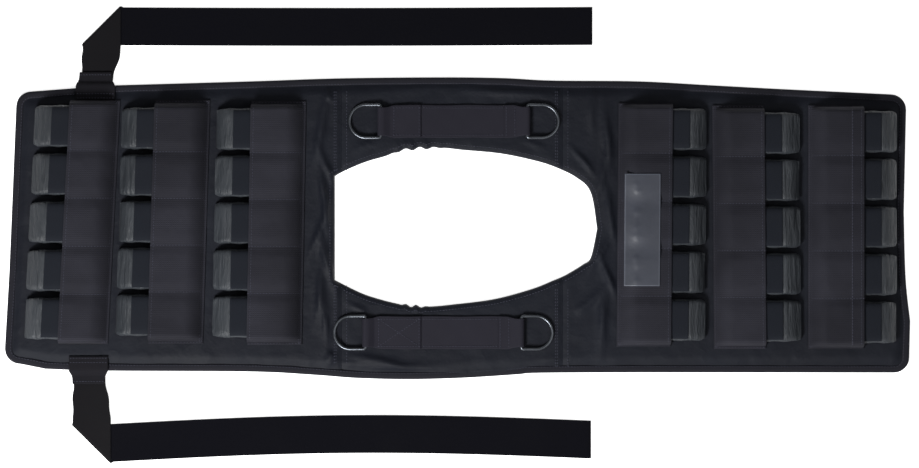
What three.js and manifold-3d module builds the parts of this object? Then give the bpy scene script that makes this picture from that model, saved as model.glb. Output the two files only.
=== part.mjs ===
// Weighted vest laid flat, front panel to the right, in millimetres with +Z up.
// The neck opening lies between two shoulder bridges, and waist straps lie along both sides.

import * as THREE from "three";
import { mergeVertices } from "three/addons/utils/BufferGeometryUtils.js";
import Module from "manifold-3d";

const wasm = await Module();
wasm.setup();

// Driving dimensions: gaps
const clearance = 0.3;

// Driving dimensions: weight pouches and their hook patches
const pouchRows = 5;
const pouchPitch = 50;
const pouchWidth = 44;
const pouchThickness = 16;
const pouchReach = 37;
const pouchHiddenLength = 40;
const patchReach = 18;
const patchTuck = 6;
const patchHeight = 0.8;

// Driving dimensions: pocket bands
const bandWidth = 56;
const bandWall = 1.6;
const bandEndFoot = 3;
const bandFoot = 5;
const bandDip = 3.2;
const hemWidth = 13;
const hemWall = 0.8;
const columnGap = 7;

// Driving dimensions: padded panels
const panelThickness = 6.5;
const panelRound = 2.6;
const shortestEdge = 4;
const panelMargin = 23.5;
const leftEndMargin = 19.6;
const rightEndMargin = 14.4;
const cornerRadius = 16;
const foldMargin = 4;

// Driving dimensions: edge binding
const bindingDepth = 7.5;
const bindingWall = 1;
const bindingHeight = 5.6;

// Driving dimensions: neck opening and shoulder seams
const neckLength = 276;
const neckWidth = 168;
const leftSeamInset = 7;
const rightSeamInset = 36.5;
const ruffleDepth = 1.6;
const ruffleHeight = 2.4;

// Driving dimensions: shoulder webbing and D-rings
const webbingWidth = 34.5;
const webbingWall = 1.4;
const webbingOffset = 111;
const wireDiameter = 3.3;
const ringLeg = 15.5;
const ringCorner = 2.2;
const ringPlay = 0.6;
const loopWidth = 30;
const loopSlope = 10;

// Driving dimensions: waist straps and their tabs
const strapWidth = 40;
const strapWall = 1.6;
const strapRun = 500;
const strapNeck = 34;
const tabMargin = 0.5;
const tabSewn = 8;
const tabOverlap = 6;
const tabWall = 1.4;

// Driving dimensions: label
const labelWidth = 37.5;
const labelLength = 118;
const labelWall = 0.8;

// Sizes that follow from the driving dimensions
const columnPitch = bandWidth + pouchReach + columnGap;
const bandLength = pouchRows * pouchPitch + 2 * bandEndFoot;
const halfWidth = bandLength / 2 + panelMargin;
const bindingGap = bindingWall + clearance;
const panelTop = bindingGap + panelThickness;
const pouchBase = panelTop + clearance;
const bandBase = panelTop + clearance;
const bandTop = pouchBase + pouchThickness + patchHeight + clearance + bandWall;
const ringRadius = loopWidth / 2 + ringPlay + wireDiameter / 2;
const ringDepth = ringLeg + ringRadius + wireDiameter / 2;
const boreRadius = wireDiameter / 2 + clearance + 0.05;
const loopRadius = boreRadius + webbingWall;
const tabWidth = strapWidth + 2 * tabMargin;
const webbingBase = panelTop + clearance;
const barHeight = webbingBase + loopRadius;
const quietInner = webbingOffset - ringRadius - wireDiameter;
const quietOuter = webbingOffset + ringRadius + wireDiameter;
const leftSeam = -neckLength / 2 + leftSeamInset;
const rightSeam = neckLength / 2 - rightSeamInset;

// Pocket bands, left to right. Columns: side the mouths face, lane of the mouth from its seam,
// outward slant of the lower end (both in column pitches), width in band widths, spread of the rows
// in pouch pitches, shift of the rows towards the top in pouch pitches, reach in pouch reaches.
const bandTable = [
  { name: 1, side: -1, lane: 2.909, slant: 0.13, width: 0.93, spread: 1.01, shift: 0.1, reach: 1.0 },
  { name: 2, side: -1, lane: 1.993, slant: 0.075, width: 1.03, spread: 0.98, shift: 0.11, reach: 0.94 },
  { name: 3, side: -1, lane: 0.969, slant: 0.045, width: 1.03, spread: 0.985, shift: 0.085, reach: 1.0 },
  { name: 4, side: 1, lane: 1.145, slant: -0.02, width: 1.015, spread: 1.0, shift: 0.05, reach: 0.98 },
  { name: 5, side: 1, lane: 2.123, slant: 0.02, width: 0.97, spread: 0.985, shift: 0.0, reach: 1.02 },
  { name: 6, side: 1, lane: 3.16, slant: 0.0, width: 1.04, spread: 1.0, shift: 0.0, reach: 0.95 },
];

// Ends of the vest, from the outermost pouches plus a margin
const laneX = (band, drop) =>
  (band.side < 0 ? leftSeam : rightSeam) +
  band.side * columnPitch * (band.lane + band.slant * drop);
const leftEnd = laneX(bandTable[0], 0.5) - pouchReach * bandTable[0].reach - leftEndMargin;
const rightEnd = laneX(bandTable[5], 0.5) + pouchReach * bandTable[5].reach + rightEndMargin;
const vestLength = rightEnd - leftEnd;

// Outer edges of the vest. Columns: share of the vest length from the left end, share of the half
// width.
const upperEdge = [
  [0.013, 0.941], [0.117, 0.983], [0.27, 1.011], [0.37, 1.032], [0.48, 1.039], [0.55, 1.034],
  [0.604, 1.017], [0.7, 1.011], [0.78, 0.984], [0.86, 0.957], [0.93, 0.936], [0.987, 0.921],
];
const lowerEdge = [
  [0.009, 0.95], [0.045, 0.985], [0.11, 0.998], [0.27, 1.004], [0.34, 1.026], [0.39, 1.049],
  [0.448, 1.057], [0.507, 1.047], [0.565, 1.024], [0.59, 1.013], [0.7, 1.009], [0.987, 1.011],
];
// Ends of the vest. Columns: share of the half width, share of the vest length drawn in.
const leftEndTable = [[0.8, 0.0125], [0.3, 0.009], [-0.3, 0.005], [-0.8, 0.0]];
const rightEndTable = [[0.8, 0.0045], [0.1, 0.007], [-0.35, 0.005], [-0.65, 0.0], [-0.85, 0.001]];

// Neck opening. Columns: share of the neck length from its left edge, share of half the neck width.
const neckTop = [
  [0.0, 0.637], [0.045, 0.715], [0.119, 0.815], [0.19, 0.883], [0.27, 0.965], [0.4, 0.99],
  [0.49, 0.963], [0.63, 0.92], [0.75, 0.84], [0.83, 0.762], [0.92, 0.62], [0.975, 0.43],
];
const neckBottom = [
  [0.975, -0.38], [0.945, -0.47], [0.88, -0.6], [0.83, -0.672], [0.75, -0.776], [0.61, -0.9],
  [0.46, -0.965], [0.35, -0.995], [0.25, -0.965], [0.155, -0.888], [0.09, -0.81], [0.0, -0.663],
];
const neckSide = [0.999, -0.02];
// Gathered stretches of the neck edge. Columns: side, start and end as shares of the neck length,
// waves.
const gathers = [
  { side: 1, from: 0.2, to: 0.42, waves: 4 },
  { side: -1, from: 0.24, to: 0.36, waves: 3 },
];

// Wrinkles of the padded cloth. Columns: place along and across as shares of the vest length and
// half width from the centre, turn in degrees, length, width and height in panel thicknesses.
const foldTable = [
  { along: -0.157, across: 0.72, turn: 78, length: 5.5, width: 1.1, height: 0.28 },
  { along: -0.15, across: 0.25, turn: 100, length: 6.5, width: 1.0, height: 0.34 },
  { along: -0.158, across: -0.2, turn: 84, length: 6.0, width: 1.1, height: 0.3 },
  { along: -0.148, across: -0.68, turn: 96, length: 5.5, width: 1.0, height: 0.34 },
  { along: 0.1575, across: 0.62, turn: 92, length: 6.0, width: 1.1, height: 0.3 },
  { along: 0.136, across: -0.62, turn: 84, length: 5.0, width: 1.0, height: 0.26 },
  { along: 0.162, across: -0.45, turn: 97, length: 5.5, width: 1.0, height: 0.3 },
  { along: 0.0, across: 0.97, turn: 2, length: 12, width: 1.0, height: 0.22 },
  { along: -0.03, across: -0.98, turn: -2, length: 11, width: 1.0, height: 0.26 },
];

// Shoulder webbing. Columns: side of the neck, left and right bar as shares of the neck length from
// its centre, end of the folded back layer as a share of the span.
const webbingTable = [
  { name: "upper", side: 1, left: -0.325, right: 0.233, fold: 0.276 },
  { name: "lower", side: -1, left: -0.383, right: 0.21, fold: 0.357 },
];

// Waist straps. Columns: side, root as a share of the vest length from the left end, then in strap
// widths the lean of the tab to one side, the rise from the panel edge to the run, the bow of the run
// and the drift of its free end towards the panel, and last the run in strap runs.
const strapTable = [
  { name: "upper", side: 1, root: 0.107, lean: -0.16, rise: 1.55, bow: 0.02, drift: -0.01, run: 0.992 },
  { name: "lower", side: -1, root: 0.096, lean: -0.08, rise: 1.9, bow: 0.19, drift: 0.09, run: 1.01 },
];

// Cloth and metal finishes
const panelCloth = new THREE.MeshStandardMaterial({ color: 0x24242b, roughness: 0.72, metalness: 0 });
const tapeCloth = new THREE.MeshStandardMaterial({ color: 0x1c1c22, roughness: 0.78, metalness: 0 });
const bandCloth = new THREE.MeshStandardMaterial({ color: 0x2d2d34, roughness: 0.9, metalness: 0 });
const pouchCloth = new THREE.MeshStandardMaterial({ color: 0x404346, roughness: 0.75, metalness: 0 });
const strapCloth = new THREE.MeshStandardMaterial({ color: 0x121216, roughness: 0.95, metalness: 0 });
const ringMetal = new THREE.MeshStandardMaterial({ color: 0x3a3b3e, roughness: 0.35, metalness: 1 });
const clearVinyl = new THREE.MeshStandardMaterial({ color: 0x5a5f6a, roughness: 0.2, metalness: 0 });

// Small helpers
const mix = (a, b, share) => a + (b - a) * share;

function interpolate(table, place) {
  const rising = table[0][0] < table[table.length - 1][0];
  const rows = rising ? table : [...table].reverse();
  if (place <= rows[0][0]) return rows[0][1];
  for (let i = 1; i < rows.length; i += 1) {
    const [start, low] = rows[i - 1];
    const [end, high] = rows[i];
    if (place <= end) return mix(low, high, (place - start) / (end - start));
  }
  return rows[rows.length - 1][1];
}

function closedGeometry(points, triangles) {
  const geometry = new THREE.BufferGeometry();
  geometry.setAttribute("position", new THREE.Float32BufferAttribute(points.flat(), 3));
  geometry.setIndex(triangles.flat());
  return geometry;
}

// A closed sheet from a grid of upper points and a grid of lower points
function sheet(columns, rows, upper, lower) {
  const points = [];
  for (const face of [upper, lower]) {
    for (let i = 0; i < columns; i += 1) {
      for (let j = 0; j < rows; j += 1) points.push(face(i, j));
    }
  }
  const top = (i, j) => i * rows + j;
  const under = (i, j) => columns * rows + i * rows + j;
  const triangles = [];
  for (let i = 0; i < columns - 1; i += 1) {
    for (let j = 0; j < rows - 1; j += 1) {
      triangles.push([top(i, j), top(i + 1, j), top(i + 1, j + 1)]);
      triangles.push([top(i, j), top(i + 1, j + 1), top(i, j + 1)]);
      triangles.push([under(i, j), under(i + 1, j + 1), under(i + 1, j)]);
      triangles.push([under(i, j), under(i, j + 1), under(i + 1, j + 1)]);
    }
  }
  for (let i = 0; i < columns - 1; i += 1) {
    triangles.push([top(i, 0), under(i, 0), under(i + 1, 0)]);
    triangles.push([top(i, 0), under(i + 1, 0), top(i + 1, 0)]);
    const last = rows - 1;
    triangles.push([top(i, last), under(i + 1, last), under(i, last)]);
    triangles.push([top(i, last), top(i + 1, last), under(i + 1, last)]);
  }
  for (let j = 0; j < rows - 1; j += 1) {
    triangles.push([top(0, j), under(0, j + 1), under(0, j)]);
    triangles.push([top(0, j), top(0, j + 1), under(0, j + 1)]);
    const last = columns - 1;
    triangles.push([top(last, j), under(last, j), under(last, j + 1)]);
    triangles.push([top(last, j), under(last, j + 1), top(last, j + 1)]);
  }
  return closedGeometry(points, triangles);
}

// Unit step inwards at each point of an anticlockwise loop, lengthened at its corners
function inwardSteps(path) {
  const count = path.length;
  return path.map((point, i) => {
    const first = point.clone().sub(path[(i + count - 1) % count]).normalize();
    const second = path[(i + 1) % count].clone().sub(point).normalize();
    const inward = new THREE.Vector2(-first.y - second.y, first.x + second.x).normalize();
    const shortening = inward.dot(new THREE.Vector2(-first.y, first.x));
    return inward.divideScalar(Math.max(0.5, shortening));
  });
}

function insetLoop(path, distance) {
  const inward = inwardSteps(path);
  return path.map((point, i) => point.clone().addScaledVector(inward[i], distance));
}

// A closed band that carries a section, given as offset from the path and height, round a flat loop
function loopSweep(path, section) {
  const count = path.length;
  const size = section.length;
  const inward = inwardSteps(path);
  const points = [];
  path.forEach((point, i) => {
    for (const [offset, height] of section) {
      const place = point.clone().addScaledVector(inward[i], offset);
      points.push([place.x, place.y, height]);
    }
  });
  const triangles = [];
  for (let i = 0; i < count; i += 1) {
    const next = (i + 1) % count;
    for (let k = 0; k < size; k += 1) {
      const across = (k + 1) % size;
      triangles.push([i * size + k, next * size + across, next * size + k]);
      triangles.push([i * size + k, i * size + across, next * size + across]);
    }
  }
  return closedGeometry(points, triangles);
}

// A closed loft through sections that all have the same number of points. The end faces are a fan
// unless their triangles are given.
function loft(sections, faces) {
  const size = sections[0].length;
  const triangles = [];
  for (let i = 0; i < sections.length - 1; i += 1) {
    for (let k = 0; k < size; k += 1) {
      const next = (k + 1) % size;
      const here = i * size;
      const there = here + size;
      triangles.push([here + k, here + next, there + next]);
      triangles.push([here + k, there + next, there + k]);
    }
  }
  const last = (sections.length - 1) * size;
  const fan = Array.from({ length: size - 2 }, (_, k) => [0, k + 1, k + 2]);
  for (const [a, b, c] of faces ?? fan) {
    triangles.push([a, c, b]);
    triangles.push([last + a, last + b, last + c]);
  }
  return closedGeometry(sections.flat(), triangles);
}

// Solids for cutting and joining
function solidOf(geometry) {
  const bare = geometry.clone();
  bare.deleteAttribute("normal");
  bare.deleteAttribute("uv");
  const merged = mergeVertices(bare, 1e-4);
  const mesh = new wasm.Mesh({
    numProp: 3,
    vertProperties: new Float32Array(merged.attributes.position.array),
    triVerts: new Uint32Array(merged.index.array),
  });
  return new wasm.Manifold(mesh);
}

function geometryOf(solid) {
  const mesh = solid.getMesh();
  const geometry = new THREE.BufferGeometry();
  geometry.setAttribute("position", new THREE.BufferAttribute(mesh.vertProperties, 3));
  geometry.setIndex(new THREE.BufferAttribute(mesh.triVerts, 1));
  return geometry;
}

function prism(outline, low, high) {
  const shape = new THREE.Shape(outline);
  const geometry = new THREE.ExtrudeGeometry(shape, { depth: high - low, bevelEnabled: false });
  geometry.translate(0, 0, low);
  return solidOf(geometry);
}

// A prism that is pinched round its upper edge, with room above it for wrinkles further in
function pillowPrism(outline, low, high, round, room) {
  const levels = [
    { inset: 0, height: low },
    { inset: 0, height: high - 0.8 * round },
    { inset: 0.75 * round, height: high + 0.15 * round },
    { inset: 0.8 * round, height: high + room },
  ];
  const rings = levels.map(({ inset, height }) =>
    insetLoop(outline, inset).map((point) => [point.x, point.y, height]));
  return solidOf(loft(rings, THREE.ShapeUtils.triangulateShape(outline, [])));
}

function smoothLine(points, count) {
  return new THREE.SplineCurve(points).getPoints(count);
}

function cornerArc(centre, radius, from, to, steps) {
  const points = [];
  for (let k = 0; k <= steps; k += 1) {
    const angle = mix(from, to, k / steps);
    points.push(new THREE.Vector2(
      centre.x + radius * Math.cos(angle),
      centre.y + radius * Math.sin(angle),
    ));
  }
  return points;
}

// Outer outline of the vest, anticlockwise from above
const edgePoint = (side) => ([along, across]) =>
  new THREE.Vector2(leftEnd + along * vestLength, side * across * halfWidth);

const endPoint = (side) => ([across, drawn]) =>
  new THREE.Vector2(
    side < 0 ? leftEnd + drawn * vestLength : rightEnd - drawn * vestLength,
    across * halfWidth,
  );

function vestOutline() {
  const low = lowerEdge.map(edgePoint(-1));
  const high = upperEdge.map(edgePoint(1)).reverse();
  const right = rightEndTable.map(endPoint(1)).reverse();
  const left = leftEndTable.map(endPoint(-1));
  const inset = cornerRadius;
  const corners = {
    lowRight: new THREE.Vector2(right[0].x - inset, low[low.length - 1].y + inset),
    highRight: new THREE.Vector2(right[right.length - 1].x - inset, high[0].y - inset),
    highLeft: new THREE.Vector2(left[0].x + inset, high[high.length - 1].y - inset),
    lowLeft: new THREE.Vector2(left[left.length - 1].x + inset, low[0].y + inset),
  };
  const quarter = Math.PI / 2;
  const keepX = (point) =>
    point.x > leftEnd + 2 * cornerRadius && point.x < rightEnd - 2 * cornerRadius;
  return [
    ...smoothLine(low.filter(keepX), 15),
    ...cornerArc(corners.lowRight, inset, -quarter, 0, 3),
    ...smoothLine(right.slice(1, -1), 5),
    ...cornerArc(corners.highRight, inset, 0, quarter, 3),
    ...smoothLine(high.filter(keepX), 12),
    ...cornerArc(corners.highLeft, inset, quarter, 2 * quarter, 3),
    ...smoothLine(left.slice(1, -1), 3),
    ...cornerArc(corners.lowLeft, inset, 2 * quarter, 3 * quarter, 3),
  ];
}

const outline = vestOutline();
const panelOutline = insetLoop(outline, bindingGap);

// Neck opening
function ruffle(x, side) {
  const along = (x + neckLength / 2) / neckLength;
  const gather = gathers.find((row) => row.side === side && along > row.from && along < row.to);
  if (!gather) return 0;
  const share = (along - gather.from) / (gather.to - gather.from);
  return Math.sin(share * gather.waves * 2 * Math.PI) * Math.sin(share * Math.PI);
}

const neckPoint = ([along, across]) =>
  new THREE.Vector2((along - 0.5) * neckLength, across * neckWidth / 2);

function neckOutline() {
  const top = smoothLine([...neckTop, neckSide].map(neckPoint), 27);
  const bottom = smoothLine([neckSide, ...neckBottom].map(neckPoint), 25);
  for (const point of top) point.y += ruffleDepth * ruffle(point.x, 1);
  for (const point of bottom) point.y -= ruffleDepth * ruffle(point.x, -1);
  return [...top, ...bottom.slice(1)].reverse();
}

const neckEdge = neckOutline();

// The bare stretch of padded cloth between the feet of the two innermost bands
const footX = (band, drop) => laneX(band, drop) - band.side * bandWidth * band.width;
const bareLeft = Math.max(footX(bandTable[2], 0.5), footX(bandTable[2], -0.5)) + foldMargin;
const bareRight = Math.min(footX(bandTable[3], 0.5), footX(bandTable[3], -0.5)) - foldMargin;

// Padded cloth: a slab whose upper face carries the wrinkles and gathers
function foldHeight(x, y) {
  const underWebbing = Math.abs(y) >= quietInner && Math.abs(y) <= quietOuter;
  if (x <= bareLeft || x >= bareRight || underWebbing) return 0;
  let height = 0;
  for (const fold of foldTable) {
    const turn = THREE.MathUtils.degToRad(fold.turn);
    const dx = x - (leftEnd + rightEnd) / 2 - fold.along * vestLength;
    const dy = y - fold.across * halfWidth;
    const along = (dx * Math.cos(turn) + dy * Math.sin(turn)) / (fold.length * panelThickness);
    const across = (dy * Math.cos(turn) - dx * Math.sin(turn)) / (fold.width * panelThickness);
    height += fold.height * panelThickness * Math.exp(-along * along - across * across);
  }
  const ease = Math.min(1, (x - bareLeft) / foldMargin, (bareRight - x) / foldMargin);
  return height * ease;
}

function gatherHeight(x, y) {
  const side = Math.sign(y);
  const wave = ruffle(x, side);
  const depth = Math.abs(y) - neckWidth / 2;
  if (Math.abs(y) >= quietInner) return 0;
  return ruffleHeight * Math.abs(wave) * Math.exp(-Math.pow(depth / (ruffleHeight * 3), 2));
}

function paddedSlab(columns, rows) {
  const height = (x, y) => panelTop + foldHeight(x, y) + gatherHeight(x, y);
  const upper = (i, j) => [columns[i], rows[j], height(columns[i], rows[j])];
  const lower = (i, j) => [columns[i], rows[j], 0];
  return solidOf(sheet(columns.length, rows.length, upper, lower));
}

function steps(from, to, count) {
  return Array.from({ length: count + 1 }, (_, k) => mix(from, to, k / count));
}

const bindingRing = prism(insetLoop(outline, -bindingDepth), -panelTop, 3 * panelTop)
  .subtract(prism(insetLoop(outline, bindingDepth + clearance), -2 * panelTop, 4 * panelTop));
const bindingUnder = bindingRing.intersect(
  prism(insetLoop(outline, -2 * bindingDepth), -panelTop, bindingGap),
);
const bindingOver = bindingRing.intersect(
  prism(insetLoop(outline, -2 * bindingDepth), bindingHeight - bindingGap, 2 * panelTop),
);
const beyond = 2 * vestLength;

// The stretch of an anticlockwise loop that lies between two lines across the vest, on one side of
// the vest or on both
function stretch(loop, { from, to, side }) {
  const within = (point) => point.x > from && point.x < to && point.y * side >= 0;
  const start = loop.findIndex((point, i) => !within(point) && within(loop[(i + 1) % loop.length]));
  const turned = [...loop.slice(start), ...loop.slice(0, start)];
  const kept = turned.filter(within);
  const meet = (outer, inner) => {
    const line = outer.x <= from ? from : to;
    return outer.clone().lerp(inner, (line - outer.x) / (inner.x - outer.x));
  };
  const last = turned.indexOf(kept[kept.length - 1]);
  const ends = [meet(turned[0], kept[0]), meet(turned[last + 1], turned[last])];
  const clear = kept.filter((point) => ends.every((end) => point.distanceTo(end) > shortestEdge));
  return [ends[0], ...clear, ends[1]];
}

// The edge of one padded piece: a stretch of the outer edge, then one of the neck edge backwards
const pieceOutline = (area) => [
  ...stretch(panelOutline, area),
  ...stretch(neckEdge, area).reverse(),
];

function paddedPiece(area, columns, rows) {
  const edge = pieceOutline(area);
  return geometryOf(
    paddedSlab(columns, rows)
      .intersect(pillowPrism(edge, -panelTop, panelTop, panelRound, 2 * ruffleHeight))
      .subtract(bindingUnder)
      .subtract(bindingOver),
  );
}

const halfGap = clearance / 2;
const gatherColumns = steps((gathers[0].from - 0.5) * neckLength, (gathers[0].to - 0.5) * neckLength, 12);

function shoulderColumns() {
  return [
    ...steps(leftSeam - clearance, gatherColumns[0], 3).slice(0, -1),
    ...gatherColumns,
    ...steps(gatherColumns[gatherColumns.length - 1], rightSeam + clearance, 6).slice(1),
  ];
}

const panelRows = [
  ...steps(-1.1 * halfWidth, -quietOuter, 3),
  ...steps(-quietInner, quietInner, 6),
  ...steps(quietOuter, 1.1 * halfWidth, 3),
];
const shoulderRows = [
  ...steps(0.3 * neckWidth, quietInner, 5),
  ...steps(quietOuter, 1.1 * halfWidth, 3),
];

const panelCloths = [
  {
    name: "left_panel",
    area: { from: -beyond, to: leftSeam - halfGap, side: 0 },
    columns: [leftEnd - clearance, ...steps(bareLeft, leftSeam + clearance, 7)],
    rows: panelRows,
  },
  {
    name: "right_panel",
    area: { from: rightSeam + halfGap, to: beyond, side: 0 },
    columns: [...steps(rightSeam - clearance, bareRight, 7), rightEnd + clearance],
    rows: panelRows,
  },
  {
    name: "shoulder_upper",
    area: { from: leftSeam + halfGap, to: rightSeam - halfGap, side: 1 },
    columns: shoulderColumns(),
    rows: shoulderRows,
  },
  {
    name: "shoulder_lower",
    area: { from: leftSeam + halfGap, to: rightSeam - halfGap, side: -1 },
    columns: shoulderColumns(),
    rows: shoulderRows.map((y) => -y).reverse(),
  },
];

// Edge binding: a tape folded round the panel edge
function bindingSection() {
  return [
    [0, 0.25 * bindingHeight],
    [bindingWall, 0],
    [bindingDepth, 0],
    [bindingDepth, bindingWall],
    [bindingWall, bindingWall],
    [bindingWall, bindingHeight - bindingWall],
    [bindingDepth, bindingHeight - bindingWall],
    [bindingDepth, bindingHeight],
    [0, bindingHeight],
  ];
}

// Pocket bands: an arched wall over five pouches, sewn down at its foot and at both ends
const bandRise = bandTop - bandBase - bandWall;

function bandColumns(width, hem) {
  const arch = [
    { out: 0, rise: 0, foot: true },
    { out: bandFoot, rise: 0, foot: true },
    { out: bandFoot + 0.17 * bandRise, rise: 0.52 },
    { out: bandFoot + 0.5 * bandRise, rise: 0.88 },
    { out: bandFoot + 1.0 * bandRise, rise: 1 },
  ];
  const mouth = hem
    ? [
        { out: width - hemWidth - 2.5 * hemWall, rise: 1 },
        { out: width - hemWidth - 2 * hemWall, rise: 1, extra: hemWall },
        { out: width, rise: 1, extra: hemWall },
      ]
    : [
        { out: width - 0.55 * bandRise, rise: 1 },
        { out: width, rise: 1 },
      ];
  return [...arch, ...mouth];
}

function bandRows(pitch) {
  const crest = 0.3 * pouchPitch;
  const flank = 0.5 * pouchWidth + 0.06 * pouchPitch;
  const first = -pitch * (pouchRows - 1) / 2;
  const last = -first;
  const end = bandLength / 2;
  const rows = [
    { across: -end, rise: 0, foot: true },
    { across: first - flank - bandWall, rise: 0, foot: true },
    { across: first - flank + 0.2 * bandWall, rise: 0.66 },
  ];
  for (let k = 0; k < pouchRows; k += 1) {
    const centre = first + k * pitch;
    if (k > 0) rows.push({ across: centre - pitch / 2, rise: 1 - bandDip / bandRise });
    rows.push({ across: centre - crest, rise: 1 });
    rows.push({ across: centre + crest, rise: 1 });
  }
  rows.push({ across: last + flank - 0.2 * bandWall, rise: 0.66 });
  rows.push({ across: last + flank + bandWall, rise: 0, foot: true });
  rows.push({ across: end, rise: 0, foot: true });
  return rows;
}

// Place of a point of a band, from its distance outward of the foot and its place across the vest
function bandPlace(band, out, across) {
  const drop = -across / bandLength;
  const mouth = laneX(band, drop);
  const foot = mouth - band.side * bandWidth * band.width;
  return [foot + band.side * out, across + band.shift * pouchPitch];
}

function bandGrid(band) {
  const width = bandWidth * band.width;
  const columns = bandColumns(width, band.name === 6);
  const rows = bandRows(pouchPitch * band.spread);
  const point = columns.map((column) => rows.map((row) => {
    const [x, y] = bandPlace(band, column.out, row.across);
    const lift = row.foot || column.foot ? 0 : column.rise * row.rise * bandRise + (column.extra ?? 0);
    return new THREE.Vector3(x, y, bandBase + bandWall + lift);
  }));
  return { columns, rows, point };
}

function bandGeometry(band) {
  const { columns, rows, point } = bandGrid(band);
  const normal = (i, j) => {
    const left = point[Math.max(i - 1, 0)][j];
    const right = point[Math.min(i + 1, columns.length - 1)][j];
    const low = point[i][Math.max(j - 1, 0)];
    const high = point[i][Math.min(j + 1, rows.length - 1)];
    const cross = right.clone().sub(left).cross(high.clone().sub(low)).normalize();
    return cross.z < 0 ? cross.negate() : cross;
  };
  const inner = (i, j) => {
    const outer = point[i][j];
    if (rows[j].foot || columns[i].foot) return [outer.x, outer.y, bandBase];
    const wall = bandWall + (columns[i].extra ?? 0);
    const shifted = outer.clone().addScaledVector(normal(i, j), -wall);
    const mouthEdge = i === columns.length - 1;
    return [mouthEdge ? outer.x : shifted.x, shifted.y, Math.max(shifted.z, bandBase)];
  };
  const order = band.side > 0 ? (i) => i : (i) => columns.length - 1 - i;
  const upper = (i, j) => point[order(i)][j].toArray();
  const lower = (i, j) => inner(order(i), j);
  return sheet(columns.length, rows.length, upper, lower);
}

// Weight pouches: a rounded bag whose open end carries the hook patch
const pouchSection = [
  [-0.43, 0], [0.43, 0], [0.5, 0.4], [0.45, 0.73], [0.3, 0.97], [-0.3, 0.97], [-0.45, 0.73], [-0.5, 0.4],
];
const pouchTopRise = 0.9;

// Columns: share of the way from the inner end to the tip, share of the width, share of the height
function pouchStations(reach) {
  return [
    { out: -pouchHiddenLength, width: 0.86, height: 0.6 },
    { out: -pouchHiddenLength + 0.4 * pouchThickness, width: 0.97, height: 1 },
    { out: -patchTuck, width: 1, height: 1, patch: 1 },
    { out: patchReach, width: 1, height: 1, patch: 1 },
    { out: patchReach + patchHeight / 4, width: 1, height: 0.99 },
    { out: mix(patchReach, reach, 0.62), width: 0.98, height: 0.86 },
    { out: reach, width: 0.88, height: 0.4 },
  ];
}

function pouchGeometry(band, row) {
  const across = (row - (pouchRows - 1) / 2) * pouchPitch * band.spread;
  const reach = pouchReach * band.reach;
  const sections = pouchStations(reach).map((station) => {
    return pouchSection.map(([side, rise]) => {
      const lifted = rise > pouchTopRise ? (station.patch ?? 0) * patchHeight : 0;
      const place = across + side * pouchWidth * station.width;
      const [x, y] = bandPlace(band, bandWidth * band.width + station.out, place);
      return [
        x,
        y,
        pouchBase + (rise / 0.97) * pouchThickness * station.height + lifted,
      ];
    });
  });
  return loft(band.side > 0 ? sections : sections.reverse());
}

// Shoulder webbing: a strip looped round the bar of a D-ring at both ends
function webbingProfile(left, right, fold) {
  const shape = new THREE.Shape();
  const doubled = 2 * webbingWall;
  shape.moveTo(left, 0);
  shape.lineTo(left + 2 * loopSlope, 0);
  shape.lineTo(right - 2 * loopSlope, 0);
  shape.lineTo(right, 0);
  shape.absarc(right, loopRadius, loopRadius, -Math.PI / 2, Math.PI / 2, false);
  shape.lineTo(right - loopSlope, doubled);
  shape.lineTo(right - 2 * loopSlope, doubled);
  shape.lineTo(right - 2.5 * loopSlope, doubled);
  shape.lineTo(right - 3 * loopSlope, webbingWall);
  shape.lineTo(fold, webbingWall);
  shape.lineTo(fold, doubled);
  shape.lineTo(left + 2 * loopSlope, doubled);
  shape.lineTo(left + loopSlope, doubled);
  shape.lineTo(left, 2 * loopRadius);
  shape.absarc(left, loopRadius, loopRadius, Math.PI / 2, 1.5 * Math.PI, false);
  for (const bar of [left, right]) {
    const bore = new THREE.Path();
    bore.absarc(bar, loopRadius, boreRadius, 0, 2 * Math.PI, true);
    shape.holes.push(bore);
  }
  return shape;
}

const boreSegments = 6;

function webbingGeometry(row) {
  const left = row.left * neckLength;
  const right = row.right * neckLength;
  const fold = mix(left, right, row.fold);
  const geometry = new THREE.ExtrudeGeometry(webbingProfile(left, right, fold), {
    depth: 1,
    bevelEnabled: false,
    curveSegments: boreSegments,
  });
  const place = geometry.attributes.position;
  for (let k = 0; k < place.count; k += 1) {
    const x = place.getX(k);
    const height = place.getY(k);
    const end = Math.min(x - left, right - x);
    const width = end < 1.5 * loopSlope ? loopWidth : webbingWidth;
    const side = 0.5 - place.getZ(k);
    place.setXYZ(k, x, row.side * webbingOffset + side * width, webbingBase + height);
  }
  return geometry;
}

// D-rings: a bent wire, its straight bar through the webbing loop and its bow towards the panel
function ringPath() {
  const half = ringRadius - ringCorner;
  return [
    ...cornerArc(new THREE.Vector2(ringCorner, -half), ringCorner, Math.PI, 1.5 * Math.PI, 2),
    ...cornerArc(new THREE.Vector2(ringLeg, 0), ringRadius, -Math.PI / 2, Math.PI / 2, 9),
    ...cornerArc(new THREE.Vector2(ringCorner, half), ringCorner, Math.PI / 2, Math.PI, 2),
  ];
}

const wireSides = 6;

function ringGeometry() {
  const section = [];
  for (let k = 0; k < wireSides; k += 1) {
    const angle = (2 * Math.PI * k) / wireSides;
    section.push([Math.cos(angle) * wireDiameter / 2, Math.sin(angle) * wireDiameter / 2]);
  }
  return loopSweep(ringPath(), section);
}

const ringDrop = barHeight - wireDiameter / 2 - panelTop - clearance;
const ringTilt = Math.asin(ringDrop / (ringDepth - wireDiameter / 2));

// The tab sits a little to one side of the riser's fold
function tabMiddle(row) {
  return leftEnd + row.root * vestLength + row.lean * strapWidth;
}

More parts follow.
